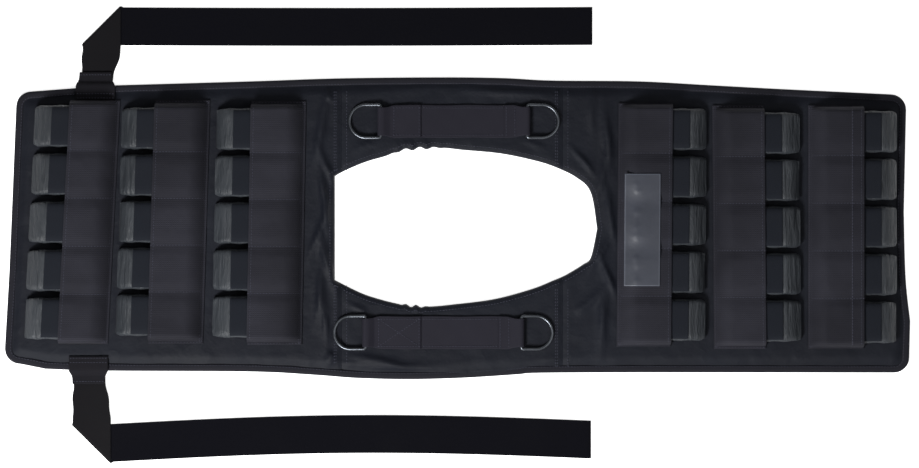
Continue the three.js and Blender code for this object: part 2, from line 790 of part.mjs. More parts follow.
// Furthest reach of the vest's outer edge beside a strap root
function rootEdge(row) {
  const edge = row.side > 0 ? upperEdge : lowerEdge;
  const half = tabWidth / 2 / vestLength;
  const along = (tabMiddle(row) - leftEnd) / vestLength;
  return Math.max(interpolate(edge, along - half), interpolate(edge, along + half)) * halfWidth;
}

// Waist straps: a riser that leaves the tab reverse side up and folds under into the long run
function strapGeometry(row) {
  const rootX = leftEnd + row.root * vestLength;
  const edgeY = rootEdge(row);
  const runY = edgeY + row.rise * strapWidth;
  const left = rootX - strapWidth / 2;
  const right = rootX + strapWidth / 2;
  const rootY = edgeY + 2 * clearance;
  const neckLeft = tabMiddle(row) - strapNeck / 2;
  const neckRight = neckLeft + strapNeck;
  const place = (x, y) => new THREE.Vector2(x, row.side * y);
  const riser = [
    place(neckLeft, rootY),
    place(neckRight, rootY),
    place(mix(neckRight, right, 0.6), mix(rootY, runY - strapWidth / 2, 0.7)),
    place(right, runY - strapWidth / 2 + 0.1 * strapWidth),
    place(right, runY + strapWidth / 2),
    place(left, runY - strapWidth / 2),
    place(mix(neckLeft, left, 0.8), mix(rootY, runY - strapWidth / 2, 0.75)),
  ];
  const length = strapRun * row.run;
  const bow = (share) => -strapWidth * (row.bow * Math.sin(Math.PI * share) + row.drift * share);
  const run = [place(left, runY - strapWidth / 2)];
  for (const share of steps(0, 1, 8)) {
    run.push(place(right + share * length, runY - strapWidth / 2 + bow(share)));
  }
  for (const share of steps(1, 0, 8)) {
    run.push(place(right + share * length, runY + strapWidth / 2 + bow(share)));
  }
  const crease = [
    place(left, runY - strapWidth / 2),
    place(left + 1.5 * strapWall, runY - strapWidth / 2),
    place(right, runY + strapWidth / 2 - 1.5 * strapWall),
    place(right, runY + strapWidth / 2),
  ];
  const layer = strapWall + clearance;
  return geometryOf(
    prism(run, 0, strapWall)
      .add(prism(riser, layer, layer + strapWall))
      .add(prism(crease, 0, layer + strapWall)),
  );
}

// Strap tabs: sewn on the panel, carried over the binding and down onto the root of the riser
function tabGeometry(row) {
  const middle = tabMiddle(row);
  const edgeY = rootEdge(row);
  const riserTop = 2 * strapWall + clearance;
  const stations = [
    { across: edgeY - bindingDepth - tabSewn, width: tabWidth, low: panelTop + clearance },
    { across: edgeY - bindingDepth - clearance, width: tabWidth, low: panelTop + clearance },
    { across: edgeY - clearance, width: tabWidth, low: panelTop + clearance - 0.5 * tabWall },
    { across: edgeY + panelTop / 2, width: mix(tabWidth, strapNeck, 0.6), low: riserTop + 1.5 * clearance },
    { across: edgeY + panelTop + tabOverlap, width: strapNeck, low: riserTop + clearance },
  ];
  const flip = row.side > 0;
  const at = (j) => stations[flip ? j : stations.length - 1 - j];
  const point = (lift) => (i, j) => [
    middle + (i - 0.5) * at(j).width,
    row.side * at(j).across,
    at(j).low + lift,
  ];
  return sheet(2, stations.length, point(tabWall), point(0));
}

// Label: a flat sheet that follows the arch of its band
function labelGeometry() {
  const band = bandTable[3];
  const { columns, rows, point } = bandGrid(band);
  const width = bandWidth * band.width;
  const from = 0.12 * width;
  const outs = [from, ...columns.map((c) => c.out).filter((out) => out > from && out < from + labelWidth),
    from + labelWidth];
  const middle = -0.047 * labelLength;
  const low = middle - labelLength / 2;
  const high = middle + labelLength / 2;
  const acrosses = [low, ...rows.map((r) => r.across).filter((y) => y > low && y < high), high];
  const lift = (out, across) => {
    const i = columns.findIndex((c, k) => k > 0 && out <= c.out);
    const j = rows.findIndex((r, k) => k > 0 && across <= r.across);
    const a = (out - columns[i - 1].out) / (columns[i].out - columns[i - 1].out);
    const b = (across - rows[j - 1].across) / (rows[j].across - rows[j - 1].across);
    return mix(
      mix(point[i - 1][j - 1].z, point[i][j - 1].z, a),
      mix(point[i - 1][j].z, point[i][j].z, a),
      b,
    );
  };
  const place = (extra) => (i, j) => {
    const [x, y] = bandPlace(band, outs[i], acrosses[j]);
    return [x, y, lift(outs[i], acrosses[j]) + 2 * clearance + extra];
  };
  return sheet(outs.length, acrosses.length, place(labelWall), place(0));
}

// Assembly
const vest = new THREE.Group();
const root = new THREE.Group();
vest.add(root);

function addMesh(name, geometry, material) {
  const mesh = new THREE.Mesh(geometry, material);
  mesh.name = name;
  root.add(mesh);
  return mesh;
}

for (const piece of panelCloths) {
  addMesh(piece.name, paddedPiece(piece.area, piece.columns, piece.rows), panelCloth);
}
addMesh("edge_binding", loopSweep(outline, bindingSection()), tapeCloth);

for (const band of bandTable) {
  addMesh(`pocket_band_${band.name}`, bandGeometry(band), bandCloth);
  for (let row = 0; row < pouchRows; row += 1) {
    addMesh(`pouch_${band.name}_${pouchRows - row}`, pouchGeometry(band, row), pouchCloth);
  }
}
addMesh("label", labelGeometry(), clearVinyl);

for (const row of webbingTable) {
  addMesh(`shoulder_webbing_${row.name}`, webbingGeometry(row), tapeCloth);
  for (const [end, bar, turn] of [["left", row.left, Math.PI], ["right", row.right, 0]]) {
    const ring = addMesh(`d_ring_${row.name}_${end}`, ringGeometry(), ringMetal);
    ring.rotation.set(0, ringTilt, turn, "ZYX");
    ring.position.set(bar * neckLength, row.side * webbingOffset, barHeight);
  }
}

for (const row of strapTable) {
  addMesh(`strap_tab_${row.name}`, tabGeometry(row), tapeCloth);
  addMesh(`waist_strap_${row.name}`, strapGeometry(row), strapCloth);
}

// The origin is under the middle of the whole vest
vest.updateMatrixWorld(true);
const box = new THREE.Box3().setFromObject(vest, true);
root.position.set(-(box.min.x + box.max.x) / 2, -(box.min.y + box.max.y) / 2, -box.min.z);
vest.updateMatrixWorld(true);

export default vest;
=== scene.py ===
import math

import bmesh
import bpy
import numpy as np
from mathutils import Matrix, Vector
from mathutils.bvhtree import BVHTree
from mathutils.geometry import delaunay_2d_cdt


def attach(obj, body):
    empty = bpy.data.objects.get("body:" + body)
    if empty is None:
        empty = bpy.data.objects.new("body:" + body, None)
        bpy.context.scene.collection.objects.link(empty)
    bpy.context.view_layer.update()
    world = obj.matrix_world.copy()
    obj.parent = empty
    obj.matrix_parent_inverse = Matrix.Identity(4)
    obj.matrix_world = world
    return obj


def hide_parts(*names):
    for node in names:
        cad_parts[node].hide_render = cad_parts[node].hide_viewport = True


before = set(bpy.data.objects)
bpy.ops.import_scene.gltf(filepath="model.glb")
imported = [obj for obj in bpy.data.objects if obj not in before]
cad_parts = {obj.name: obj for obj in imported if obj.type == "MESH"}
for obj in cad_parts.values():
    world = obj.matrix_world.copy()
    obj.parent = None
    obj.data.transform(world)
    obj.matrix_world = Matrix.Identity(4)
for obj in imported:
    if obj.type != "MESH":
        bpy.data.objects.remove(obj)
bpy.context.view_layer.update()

scene = bpy.context.scene

# All sizes are in millimetres from the middle of the neck opening, on the ground
MM = 0.001
NECK_X = 8.975
NECK_Y = 7.881

# Camera and photograph: a pixel is 1.05 mm at the scale height
IMAGE_WIDTH = 919
IMAGE_HEIGHT = 468
PIXEL = 1.05
VIEW_X = (IMAGE_WIDTH / 2 - 457.5) * PIXEL
VIEW_Y = (234.5 - IMAGE_HEIGHT / 2) * PIXEL
CAMERA_HEIGHT = 6000
SCALE_HEIGHT = 12
SENSOR = 36

# Vest outline, binding and padding
PANEL_TOP = 7.8
PANEL_FILL = 7.35
NECK_LENGTH = 276
NECK_WIDTH = 168
LEFT_SEAM = -131
RIGHT_SEAM = 101.5
HALF_WIDTH = 151.5
LEFT_END_MARGIN = 19.6
RIGHT_END_MARGIN = 14.4
CORNER = 16
BINDING_GAP = 1.3
BINDING_STITCH_IN = 6.2
BINDING_STITCH_HEIGHT = 5.25
PAD_MIDDLE = 2.9
PAD_UNDER = 2.6
PAD_STEP = 3.0
PAD_RIM_RINGS = (0.5, 1.4, 2.8)
BOUND_FADE = (4.5, 15)
NECK_ROLL = 6.5
SEAM_FADE = 5
TOP_ROUND = 1.2
UNDER_ROUND = 4

# Pouches and bands
ROWS = 5
POUCH_PITCH = 50
POUCH_WIDTH = 44
POUCH_THICKNESS = 16
POUCH_REACH = 37
POUCH_HIDDEN = 40
PATCH_REACH = 18
PATCH_TUCK = 5.5
PATCH_WALL = 0.8
PATCH_MARGIN = 2.2
FORM_ROWS = 40
FORM_AROUND = 44
FORM_COUNT = 5
PUFF_PRESSURE = 4.0
PUFF_FRAMES = 20
PUFF_CAP = 1.2
BAND_WIDTH = 56
BAND_LENGTH = 256
BAND_WALL = 1.3
BAND_BASE = 8.1
BAND_RISE = 17.1
BAND_FOOT = 5
BAND_END_SPARE = 3.8
BAND_END_ROUND = 5.5
BAND_DIP = 3.2
DIP_WIDTH = 7.5
DIP_LINE_WIDTH = 1.3
HEM_BAND = 6
HEM_WIDTH = 13
HEM_WALL = 0.8
COLUMN_PITCH = 100

# Webbing and rings, with the flat patch of padding that they lie on
WEBBING_OFFSET = 111
WEBBING_WIDTH = 34.5
WEBBING_WALL = 1.3
LOOP_WIDTH = 30
LOOP_MID = 2.75
WEBBING_BACK = 24
REST_HALF = 22
REST_LEFT = -146
REST_RIGHT = 118
SEW_LEFT = 14
SEW_FOLD = 2
WIRE = 3.3
BAR_HEIGHT = 11.5
RING_LEG = 15.5
RING_CORNER = 2.2
RING_RADIUS = 17.25
RING_TILT = math.asin((BAR_HEIGHT - WIRE / 2 - BAND_BASE) / (RING_LEG + RING_RADIUS))

# Straps and tabs
STRAP_WIDTH = 40
STRAP_WALL = 1.4
STRAP_RUN = 500
STRAP_NECK = 34
STRAP_TURN = 0.95
FOLD_ZONE = 12
TAB_WIDTH = 41
TAB_WALL = 1.2

# Stitch rows on the seams and round the neck
SEAM_OFFSETS = (-7.5, -5.6, 5.6)
SEAM_LIMITS = [
    (LEFT_SEAM, ((60, 142), (-142, -62))),
    (RIGHT_SEAM, ((64, 142), (-146, -66))),
]
NECK_STITCH_OUT = 5.0

# Stitches: pitch, length and thread radius
CLOTH_STITCH = (3.2, 2.3, 0.4)
WEBBING_STITCH = (3.0, 2.2, 0.4)
BAND_STITCH = (3.2, 2.3, 0.38)
# The hem row is thick and near continuous: its pale thread is partly the hem's stitches and partly a
# painted highlight along the folded edge
HEM_STITCH_AND_HIGHLIGHT = (3.2, 3.0, 0.6)

# Label
LABEL_WIDTH = 37.5
LABEL_LENGTH = 118
LABEL_WALL = 0.8
LABEL_FROM = 0.12
LABEL_MIDDLE = -0.047
LABEL_RIM = 1.3
TAUT_PASSES = 120
SOFT_PASSES = 12

# Floor and light: place, target, size in metres and power in watts
FLOOR_GLOW = 0.75
WORLD_LIGHT = 0.28
LIGHTS = [
    ("key_light", (-0.8, -1.25, 1.5), (0, 0.05, 0), 0.6, 70),
    ("fill_light", (1.2, -0.5, 2.0), (0, 0, 0), 1.2, 10),
]

# Bands: lane and slant in column pitches, width in band widths, spread and shift in pouch
# pitches, and reach in pouch reaches
BANDS = [
    dict(name=1, side=-1, lane=2.909, slant=0.13, width=0.93, spread=1.01, shift=0.1, reach=1.0),
    dict(name=2, side=-1, lane=1.993, slant=0.075, width=1.03, spread=0.98, shift=0.11, reach=0.94),
    dict(name=3, side=-1, lane=0.969, slant=0.045, width=1.03, spread=0.985, shift=0.085, reach=1.0),
    dict(name=4, side=1, lane=1.145, slant=-0.02, width=1.015, spread=1.0, shift=0.05, reach=0.98),
    dict(name=5, side=1, lane=2.123, slant=0.02, width=0.97, spread=0.985, shift=0.0, reach=1.02),
    dict(name=6, side=1, lane=3.16, slant=0.0, width=1.04, spread=1.0, shift=0.0, reach=0.95),
]

# The waist straps: root and run place them along the vest, and the rest is in strap widths
STRAPS = [
    dict(name="upper", side=1, root=0.107, lean=-0.16, rise=1.55, bow=0.02, drift=-0.01, run=0.992),
    dict(name="lower", side=-1, root=0.096, lean=-0.08, rise=1.9, bow=0.19, drift=0.09, run=1.01),
]

# Edges of the vest: share of its length and of its half width, or for the ends, half width first
UPPER_EDGE = [
    (0.013, 0.941), (0.117, 0.983), (0.27, 1.011), (0.37, 1.032), (0.48, 1.039), (0.55, 1.034),
    (0.604, 1.017), (0.7, 1.011), (0.78, 0.984), (0.86, 0.957), (0.93, 0.936), (0.987, 0.921),
]
LOWER_EDGE = [
    (0.009, 0.95), (0.045, 0.985), (0.11, 0.998), (0.27, 1.004), (0.34, 1.026), (0.39, 1.049),
    (0.448, 1.057), (0.507, 1.047), (0.565, 1.024), (0.59, 1.013), (0.7, 1.009), (0.987, 1.011),
]
LEFT_EDGE = [(0.8, 0.0125), (0.3, 0.009), (-0.3, 0.005), (-0.8, 0.0)]
RIGHT_EDGE = [(0.8, 0.0045), (0.1, 0.007), (-0.35, 0.005), (-0.65, 0.0), (-0.85, 0.001)]

# Neck opening: share of its length and of its half width
NECK_TOP = [
    (0.0, 0.637), (0.045, 0.715), (0.119, 0.815), (0.19, 0.883), (0.27, 0.965), (0.4, 0.99),
    (0.49, 0.963), (0.63, 0.92), (0.75, 0.84), (0.83, 0.762), (0.92, 0.62), (0.975, 0.43),
]
NECK_BOTTOM = [
    (0.975, -0.38), (0.945, -0.47), (0.88, -0.6), (0.83, -0.672), (0.75, -0.776), (0.61, -0.9),
    (0.46, -0.965), (0.35, -0.995), (0.25, -0.965), (0.155, -0.888), (0.09, -0.81), (0.0, -0.663),
]
NECK_SIDE = (0.999, -0.02)

# Gathers at the neck edge: side, start and end as shares of the neck length, waves
GATHERS = [(1, 0.2, 0.42, 4), (-1, 0.24, 0.36, 3)]
RUFFLE_DEPTH = 1.6
RUFFLE_HEIGHT = 2.4

# Section of the binding tape: distance in from the outline, and height
BINDING_SECTION = [
    (7.5, 0.35), (3, 0.3), (1.2, 0.5), (0.25, 1.6), (0.0, 2.8), (0.25, 4.1), (1.3, 5.0), (3, 5.3),
    (5.5, 5.25), (7.4, 5.0), (7.5, 4.4), (5.5, 4.35), (2, 4.2), (1.2, 2.8), (2, 1.35), (7.5, 1.25),
]

# Slow unevenness of the padding: height, reach and seed
PAD_RIPPLES = [(0.22, 46, 3), (0.16, 17, 4)]

# Wrinkles of the padded cloth: middle x and y, turn in degrees, half length, half width, height
FOLD_GAIN = 2.4
FOLDS = [
    (-154, 104, 78, 30, 5, 1.8), (-147, 62, 112, 24, 4, 1.5), (-150, 26, 98, 34, 4, 2.2),
    (-156, -6, 70, 26, 4, 1.6), (-147, -38, 104, 28, 5, 2.0), (-155, -70, 84, 24, 4, 1.7),
    (-148, -104, 96, 26, 5, 1.9), (-142, -130, 70, 18, 4, 1.3), (-144, 128, 100, 16, 4, 1.2),
    (147, 92, 94, 30, 5, 1.8), (141, 52, 74, 22, 4, 1.4), (150, 14, 100, 26, 4, 1.7),
    (139, -28, 60, 22, 4, 1.6), (148, -52, 110, 24, 4, 1.6), (142, -96, 84, 28, 5, 1.9),
    (128, -78, 40, 18, 4, 1.3), (124, 70, -50, 16, 3.5, 1.2), (131, 122, 88, 18, 4, 1.1),
    (-30, 150, 2, 60, 4, 1.0), (40, 144, -4, 40, 4, 0.9), (-60, -147, -4, 50, 4, 1.4),
    (10, -152, 3, 46, 4, 1.3), (60, -145, 8, 34, 4, 1.1), (-90, -140, -12, 24, 4, 1.2),
    (20, 96, 3, 26, 3, 0.7), (62, 92, -20, 18, 3, 0.7), (-102, 88, 22, 16, 3, 0.8),
    (-20, -95, -2, 26, 3, 0.7), (70, -93, 16, 18, 3, 0.8), (-108, -88, -30, 16, 3, 0.8),
]


# Small helpers
def smooth(low, high, value):
    share = np.clip((value - low) / (high - low), 0, 1)
    return share * share * (3 - 2 * share)


def mix(a, b, share):
    return a + (b - a) * share


def quarter_round(share):
    """Rises from 0 to 1 along a quarter of a circle."""
    return np.sqrt(1 - (1 - np.clip(share, 0, 1)) ** 2)


def ripple(x, y, scale, seed):
    """Slow unevenness between about -1 and 1 that repeats nowhere on the vest."""
    angles = np.random.default_rng(seed).uniform(0, 2 * math.pi, 12).reshape(6, 2)
    total = 0
    for k, (turn, phase) in enumerate(angles):
        reach = scale * (0.6 + 0.25 * k)
        total = total + np.sin((x * math.cos(turn) + y * math.sin(turn)) * 2 * math.pi / reach + phase)
    return total / 3


def spline(points, count):
    points = np.array(points, float)
    place = np.linspace(0, len(points) - 1, count + 1)
    index = np.minimum(place.astype(int), len(points) - 2)
    share = (place - index)[:, None]
    before = points[np.maximum(index - 1, 0)]
    start = points[index]
    end = points[index + 1]
    after = points[np.minimum(index + 2, len(points) - 1)]
    leave = (end - before) / 2
    arrive = (after - start) / 2
    cube = (2 * start - 2 * end + leave + arrive) * share ** 3
    square = (-3 * start + 3 * end - 2 * leave - arrive) * share ** 2
    return cube + square + leave * share + start


def resample(line, step):
    line = np.array(line, float)
    lengths = run_along(line)
    count = max(2, int(round(lengths[-1] / step)) + 1)
    places = np.linspace(0, lengths[-1], count)
    return np.stack([np.interp(places, lengths, line[:, k]) for k in range(line.shape[1])], 1)


def edged(low, high, rim, first, count):
    """Places from low to high, with one more close to either end so that the edges stay crisp."""
    inner = np.linspace(low + first, high - first, count)
    return np.concatenate([[low, low + rim], inner, [high - rim, high]])


def levelled(grid):
    """Each height of a grid replaced by the mean of its four neighbours."""
    wide = np.pad(grid, 1, mode="edge")
    return (wide[:-2, 1:-1] + wide[2:, 1:-1] + wide[1:-1, :-2] + wide[1:-1, 2:]) / 4


def run_along(path):
    """Distance from the start of a path to each of its points."""
    return np.r_[0, np.cumsum(np.linalg.norm(np.diff(path, axis=0), axis=1))]


def arc(centre, radius, start, end, count):
    angle = np.linspace(start, end, count)
    return np.stack([centre[0] + radius * np.cos(angle), centre[1] + radius * np.sin(angle)], 1)


def inset(loop, distance):
    first = loop - np.roll(loop, 1, 0)
    second = np.roll(loop, -1, 0) - loop
    first /= np.linalg.norm(first, axis=1)[:, None]
    second /= np.linalg.norm(second, axis=1)[:, None]
    both = first + second
    inward = np.stack([-both[:, 1], both[:, 0]], 1)
    inward /= np.linalg.norm(inward, axis=1)[:, None]
    shortening = np.maximum(0.5, inward[:, 1] * first[:, 0] - inward[:, 0] * first[:, 1])
    return loop + inward / shortening[:, None] * distance


def distance_to(points, line):
    start, step = line[:-1], np.diff(line, axis=0)
    square = np.maximum((step ** 2).sum(1), 1e-12)
    best = np.full(len(points), 1e9)
    for k in range(0, len(start), 64):
        away = points[:, None] - start[None, k:k + 64]
        share = np.clip((away * step[None, k:k + 64]).sum(2) / square[None, k:k + 64], 0, 1)
        near = away - share[:, :, None] * step[None, k:k + 64]
        best = np.minimum(best, np.sqrt((near ** 2).sum(2)).min(1))
    return best


def finished(name, points, faces, coords, material, smooth_angle=None):
    """A mesh object in the vest's own place, with a cloth map in metres when coords are given."""
    points = np.array(points, float)
    placed = (points + (NECK_X, NECK_Y, 0)) * MM
    mesh = bpy.data.meshes.new(name)
    mesh.from_pydata(placed.tolist(), [], faces)
    if coords is not None:
        layer = mesh.uv_layers.new(name="cloth")
        corner = np.zeros(len(mesh.loops), int)
        mesh.loops.foreach_get("vertex_index", corner)
        layer.data.foreach_set("uv", (np.array(coords, float)[corner] * MM).ravel())
    edit = bmesh.new()
    edit.from_mesh(mesh)
    bmesh.ops.recalc_face_normals(edit, faces=edit.faces)
    edit.to_mesh(mesh)
    edit.free()
    for face in mesh.polygons:
        face.use_smooth = True
    if smooth_angle:
        mesh.set_sharp_from_angle(angle=math.radians(smooth_angle))
    obj = bpy.data.objects.new(name, mesh)
    scene.collection.objects.link(obj)
    mesh.materials.append(material)
    return obj


def normals_of(grid):
    along = np.gradient(grid, axis=0)
    across = np.gradient(grid, axis=1)
    normal = np.cross(along, across)
    return normal / np.maximum(np.linalg.norm(normal, axis=2), 1e-9)[:, :, None]


def thick_sheet(name, middle, wall, coords, material, edge=0.5):
    """A closed sheet of cloth round a grid of middle points, a little thinner along its edges."""
    rows, columns = middle.shape[:2]
    thickness = np.broadcast_to(np.array(wall, float), (rows, columns)).copy()
    thickness[[0, -1]] *= edge
    thickness[:, [0, -1]] *= edge
    offset = normals_of(middle) * thickness[:, :, None] / 2
    points = np.concatenate([(middle + offset).reshape(-1, 3), (middle - offset).reshape(-1, 3)])
    place = np.arange(rows * columns).reshape(rows, columns)
    a, b, c, d = place[:-1, :-1], place[1:, :-1], place[1:, 1:], place[:-1, 1:]
    upper = np.stack([a, b, c, d], 2).reshape(-1, 4)
    faces = upper.tolist() + (upper[:, ::-1] + rows * columns).tolist()
    rim = np.concatenate([place[:, 0], place[-1, 1:], place[-2::-1, -1], place[0, -2:0:-1]])
    after = np.roll(rim, -1)
    under = rows * columns
    faces += np.stack([rim, rim + under, after + under, after], 1).tolist()
    maps = np.concatenate([coords.reshape(-1, 2)] * 2)
    return finished(name, points, faces, maps, material)


def wire_loop(name, path, radius, sides, material):
    """A round wire along a closed, flat path."""
    ahead = np.roll(path, -1, 0) - np.roll(path, 1, 0)
    ahead /= np.linalg.norm(ahead, axis=1)[:, None]
    plane = np.linalg.svd(path - path.mean(0))[2][2]
    side = np.cross(ahead, plane)
    side /= np.linalg.norm(side, axis=1)[:, None]
    up = np.cross(side, ahead)
    turn = np.linspace(0, 2 * math.pi, sides, endpoint=False)
    ring = side[:, None] * np.cos(turn)[None, :, None] + up[:, None] * np.sin(turn)[None, :, None]
    points = (path[:, None] + radius * ring).reshape(-1, 3)
    faces = []
    for i in range(len(path)):
        j = (i + 1) % len(path)
        for k in range(sides):
            m = (k + 1) % sides
            faces.append((i * sides + k, j * sides + k, j * sides + m, i * sides + m))
    return finished(name, points, faces, None, material)


# Shader groups
def group_tree(name, inputs, outputs):
    tree = bpy.data.node_groups.new(name, "ShaderNodeTree")
    for label, kind, value in inputs:
        socket = tree.interface.new_socket(label, in_out="INPUT", socket_type=kind)
        socket.default_value = value
    for label, kind in outputs:
        tree.interface.new_socket(label, in_out="OUTPUT", socket_type=kind)
    return tree, tree.nodes.new("NodeGroupInput"), tree.nodes.new("NodeGroupOutput")


def node(tree, kind, **settings):
    made = tree.nodes.new(kind)
    for key, value in settings.items():
        setattr(made, key, value)
    return made


def plug(tree, source, target):
    if isinstance(source, (int, float, tuple)):
        target.default_value = source
    else:
        tree.links.new(source, target)


def maths(tree, operation, *values):
    made = node(tree, "ShaderNodeMath", operation=operation)
    for k, value in enumerate(values):
        plug(tree, value, made.inputs[k])
    return made.outputs[0]


def blended(tree, share, first, second, kind="RGBA"):
    made = node(tree, "ShaderNodeMix", data_type=kind)
    sockets = {"RGBA": (0, 6, 7, 2), "FLOAT": (0, 2, 3, 0)}[kind]
    for socket, value in zip(sockets[:3], (share, first, second)):
        plug(tree, value, made.inputs[socket])
    return made.outputs[sockets[3]]


def noise(tree, vector, scale, detail=3.0, roughness=0.5):
    made = node(tree, "ShaderNodeTexNoise")
    plug(tree, vector, made.inputs["Vector"])
    plug(tree, scale, made.inputs["Scale"])
    plug(tree, detail, made.inputs["Detail"])
    plug(tree, roughness, made.inputs["Roughness"])
    return made.outputs["Fac"]


def bumped(tree, height, strength, distance, invert=False):
    made = node(tree, "ShaderNodeBump", invert=invert)
    plug(tree, height, made.inputs["Height"])
    plug(tree, strength, made.inputs["Strength"])
    plug(tree, distance, made.inputs["Distance"])
    return made


def blank_material(name):
    material = bpy.data.materials.new(name)
    material.use_nodes = True
    return material, material.node_tree, material.node_tree.nodes["Principled BSDF"]


def weave_group():
    """Crossing yarns: ribs along one way, crossed by finer picks the other way."""
    tree, source, sink = group_tree(
        "crossing_yarns",
        [("Place", "NodeSocketVector", (0, 0, 0)), ("Yarn Pitch", "NodeSocketFloat", 0.0012),
         ("Pick Pitch", "NodeSocketFloat", 0.0009), ("Rib", "NodeSocketFloat", 0.5),
         ("Waver", "NodeSocketFloat", 0.15)],
        [("Height", "NodeSocketFloat"), ("Shade", "NodeSocketFloat")],
    )
    place = source.outputs["Place"]
    drift = maths(tree, "MULTIPLY", noise(tree, place, 260.0, 2.0), source.outputs["Waver"])
    split = node(tree, "ShaderNodeSeparateXYZ")
    plug(tree, place, split.inputs[0])
    waves = []
    for axis, pitch in ((0, "Yarn Pitch"), (1, "Pick Pitch")):
        turns = maths(tree, "DIVIDE", split.outputs[axis], source.outputs[pitch])
        turns = maths(tree, "ADD", turns, drift)
        waves.append(maths(tree, "SINE", maths(tree, "MULTIPLY", turns, 2 * math.pi)))
    cross = maths(tree, "MULTIPLY", waves[0], waves[1])
    height = blended(tree, source.outputs["Rib"], cross, waves[1], "FLOAT")
    height = maths(tree, "MULTIPLY_ADD", height, 0.5, 0.5)
    plug(tree, height, sink.inputs["Height"])
    # Shade: the yarn height made uneven, which later darkens the low yarns in the colour as painted
    # shade
    uneven = noise(tree, place, 900.0, 3.0, 0.7)
    plug(tree, maths(tree, "MULTIPLY", height, maths(tree, "ADD", uneven, 0.5)), sink.inputs["Shade"])
    return tree


def wear_shade_group():
    """Lint, rubbed patches, slow changes of colour and painted shade that darkens the low yarns of the
    weave and lightens the high ones, for every cloth.
    """
    tree, source, sink = group_tree(
        "worn_cloth_with_painted_shade",
        [("Place", "NodeSocketVector", (0, 0, 0)), ("Color", "NodeSocketColor", (0.02, 0.02, 0.02, 1)),
         ("Rubbed", "NodeSocketColor", (0.04, 0.04, 0.04, 1)), ("Wear", "NodeSocketFloat", 0.4),
         ("Lint", "NodeSocketFloat", 0.2), ("Shade", "NodeSocketFloat", 0.5),
         ("Shade Depth", "NodeSocketFloat", 0.35)],
        [("Color", "NodeSocketColor"), ("Rough Shift", "NodeSocketFloat")],
    )
    place = source.outputs["Place"]
    slow = noise(tree, place, 9.0, 3.0, 0.55)
    patch = maths(tree, "MULTIPLY", maths(tree, "SUBTRACT", slow, 0.42), 3.0)
    rubbed = node(tree, "ShaderNodeClamp")
    plug(tree, patch, rubbed.inputs[0])
    share = maths(tree, "MULTIPLY", rubbed.outputs[0], source.outputs["Wear"])
    colour = blended(tree, share, source.outputs["Color"], source.outputs["Rubbed"])
    # Painted shade: the colour is scaled by the weave's shade, darker on the low yarns and lighter on
    # the high ones
    dim = maths(tree, "MULTIPLY", maths(tree, "SUBTRACT", source.outputs["Shade"], 0.5),
                source.outputs["Shade Depth"])
    bright = node(tree, "ShaderNodeVectorMath", operation="SCALE")
    plug(tree, colour, bright.inputs[0])
    plug(tree, maths(tree, "ADD", dim, 1.0), bright.inputs["Scale"])
    fleck = node(tree, "ShaderNodeTexVoronoi", feature="F1")
    plug(tree, place, fleck.inputs["Vector"])
    plug(tree, 210.0, fleck.inputs["Scale"])
    speck = maths(tree, "LESS_THAN", fleck.outputs["Distance"], 0.05)
    speck = maths(tree, "MULTIPLY", speck, source.outputs["Lint"])
    plug(tree, blended(tree, speck, bright.outputs[0], (0.035, 0.035, 0.038, 1)), sink.inputs["Color"])
    plug(tree, maths(tree, "MULTIPLY", maths(tree, "SUBTRACT", slow, 0.5), 0.25),
         sink.inputs["Rough Shift"])
    return tree


def crease_group():
    """Soft creases and puckers of thin cloth, as a height in the place of the weave."""
    tree, source, sink = group_tree(
        "soft_creases",
        [("Place", "NodeSocketVector", (0, 0, 0)), ("Scale", "NodeSocketFloat", 60.0),
         ("Stretch", "NodeSocketVector", (1, 1, 1))],
        [("Height", "NodeSocketFloat")],
    )
    mapping = node(tree, "ShaderNodeMapping")
    plug(tree, source.outputs["Place"], mapping.inputs["Vector"])
    plug(tree, source.outputs["Stretch"], mapping.inputs["Scale"])
    base = noise(tree, mapping.outputs[0], source.outputs["Scale"], 4.0, 0.55)
    ridge = maths(tree, "ABSOLUTE", maths(tree, "SUBTRACT", base, 0.5))
    plug(tree, maths(tree, "SUBTRACT", 1.0, maths(tree, "MULTIPLY", ridge, 4.0)), sink.inputs["Height"])
    return tree


YARNS = weave_group()
WORN_SHADED = wear_shade_group()
CREASES = crease_group()


def linear(hex_colour):
    parts = [int(hex_colour[k:k + 2], 16) / 255 for k in (0, 2, 4)]
    return tuple(c / 12.92 if c < 0.04045 else ((c + 0.055) / 1.055) ** 2.4 for c in parts) + (1,)


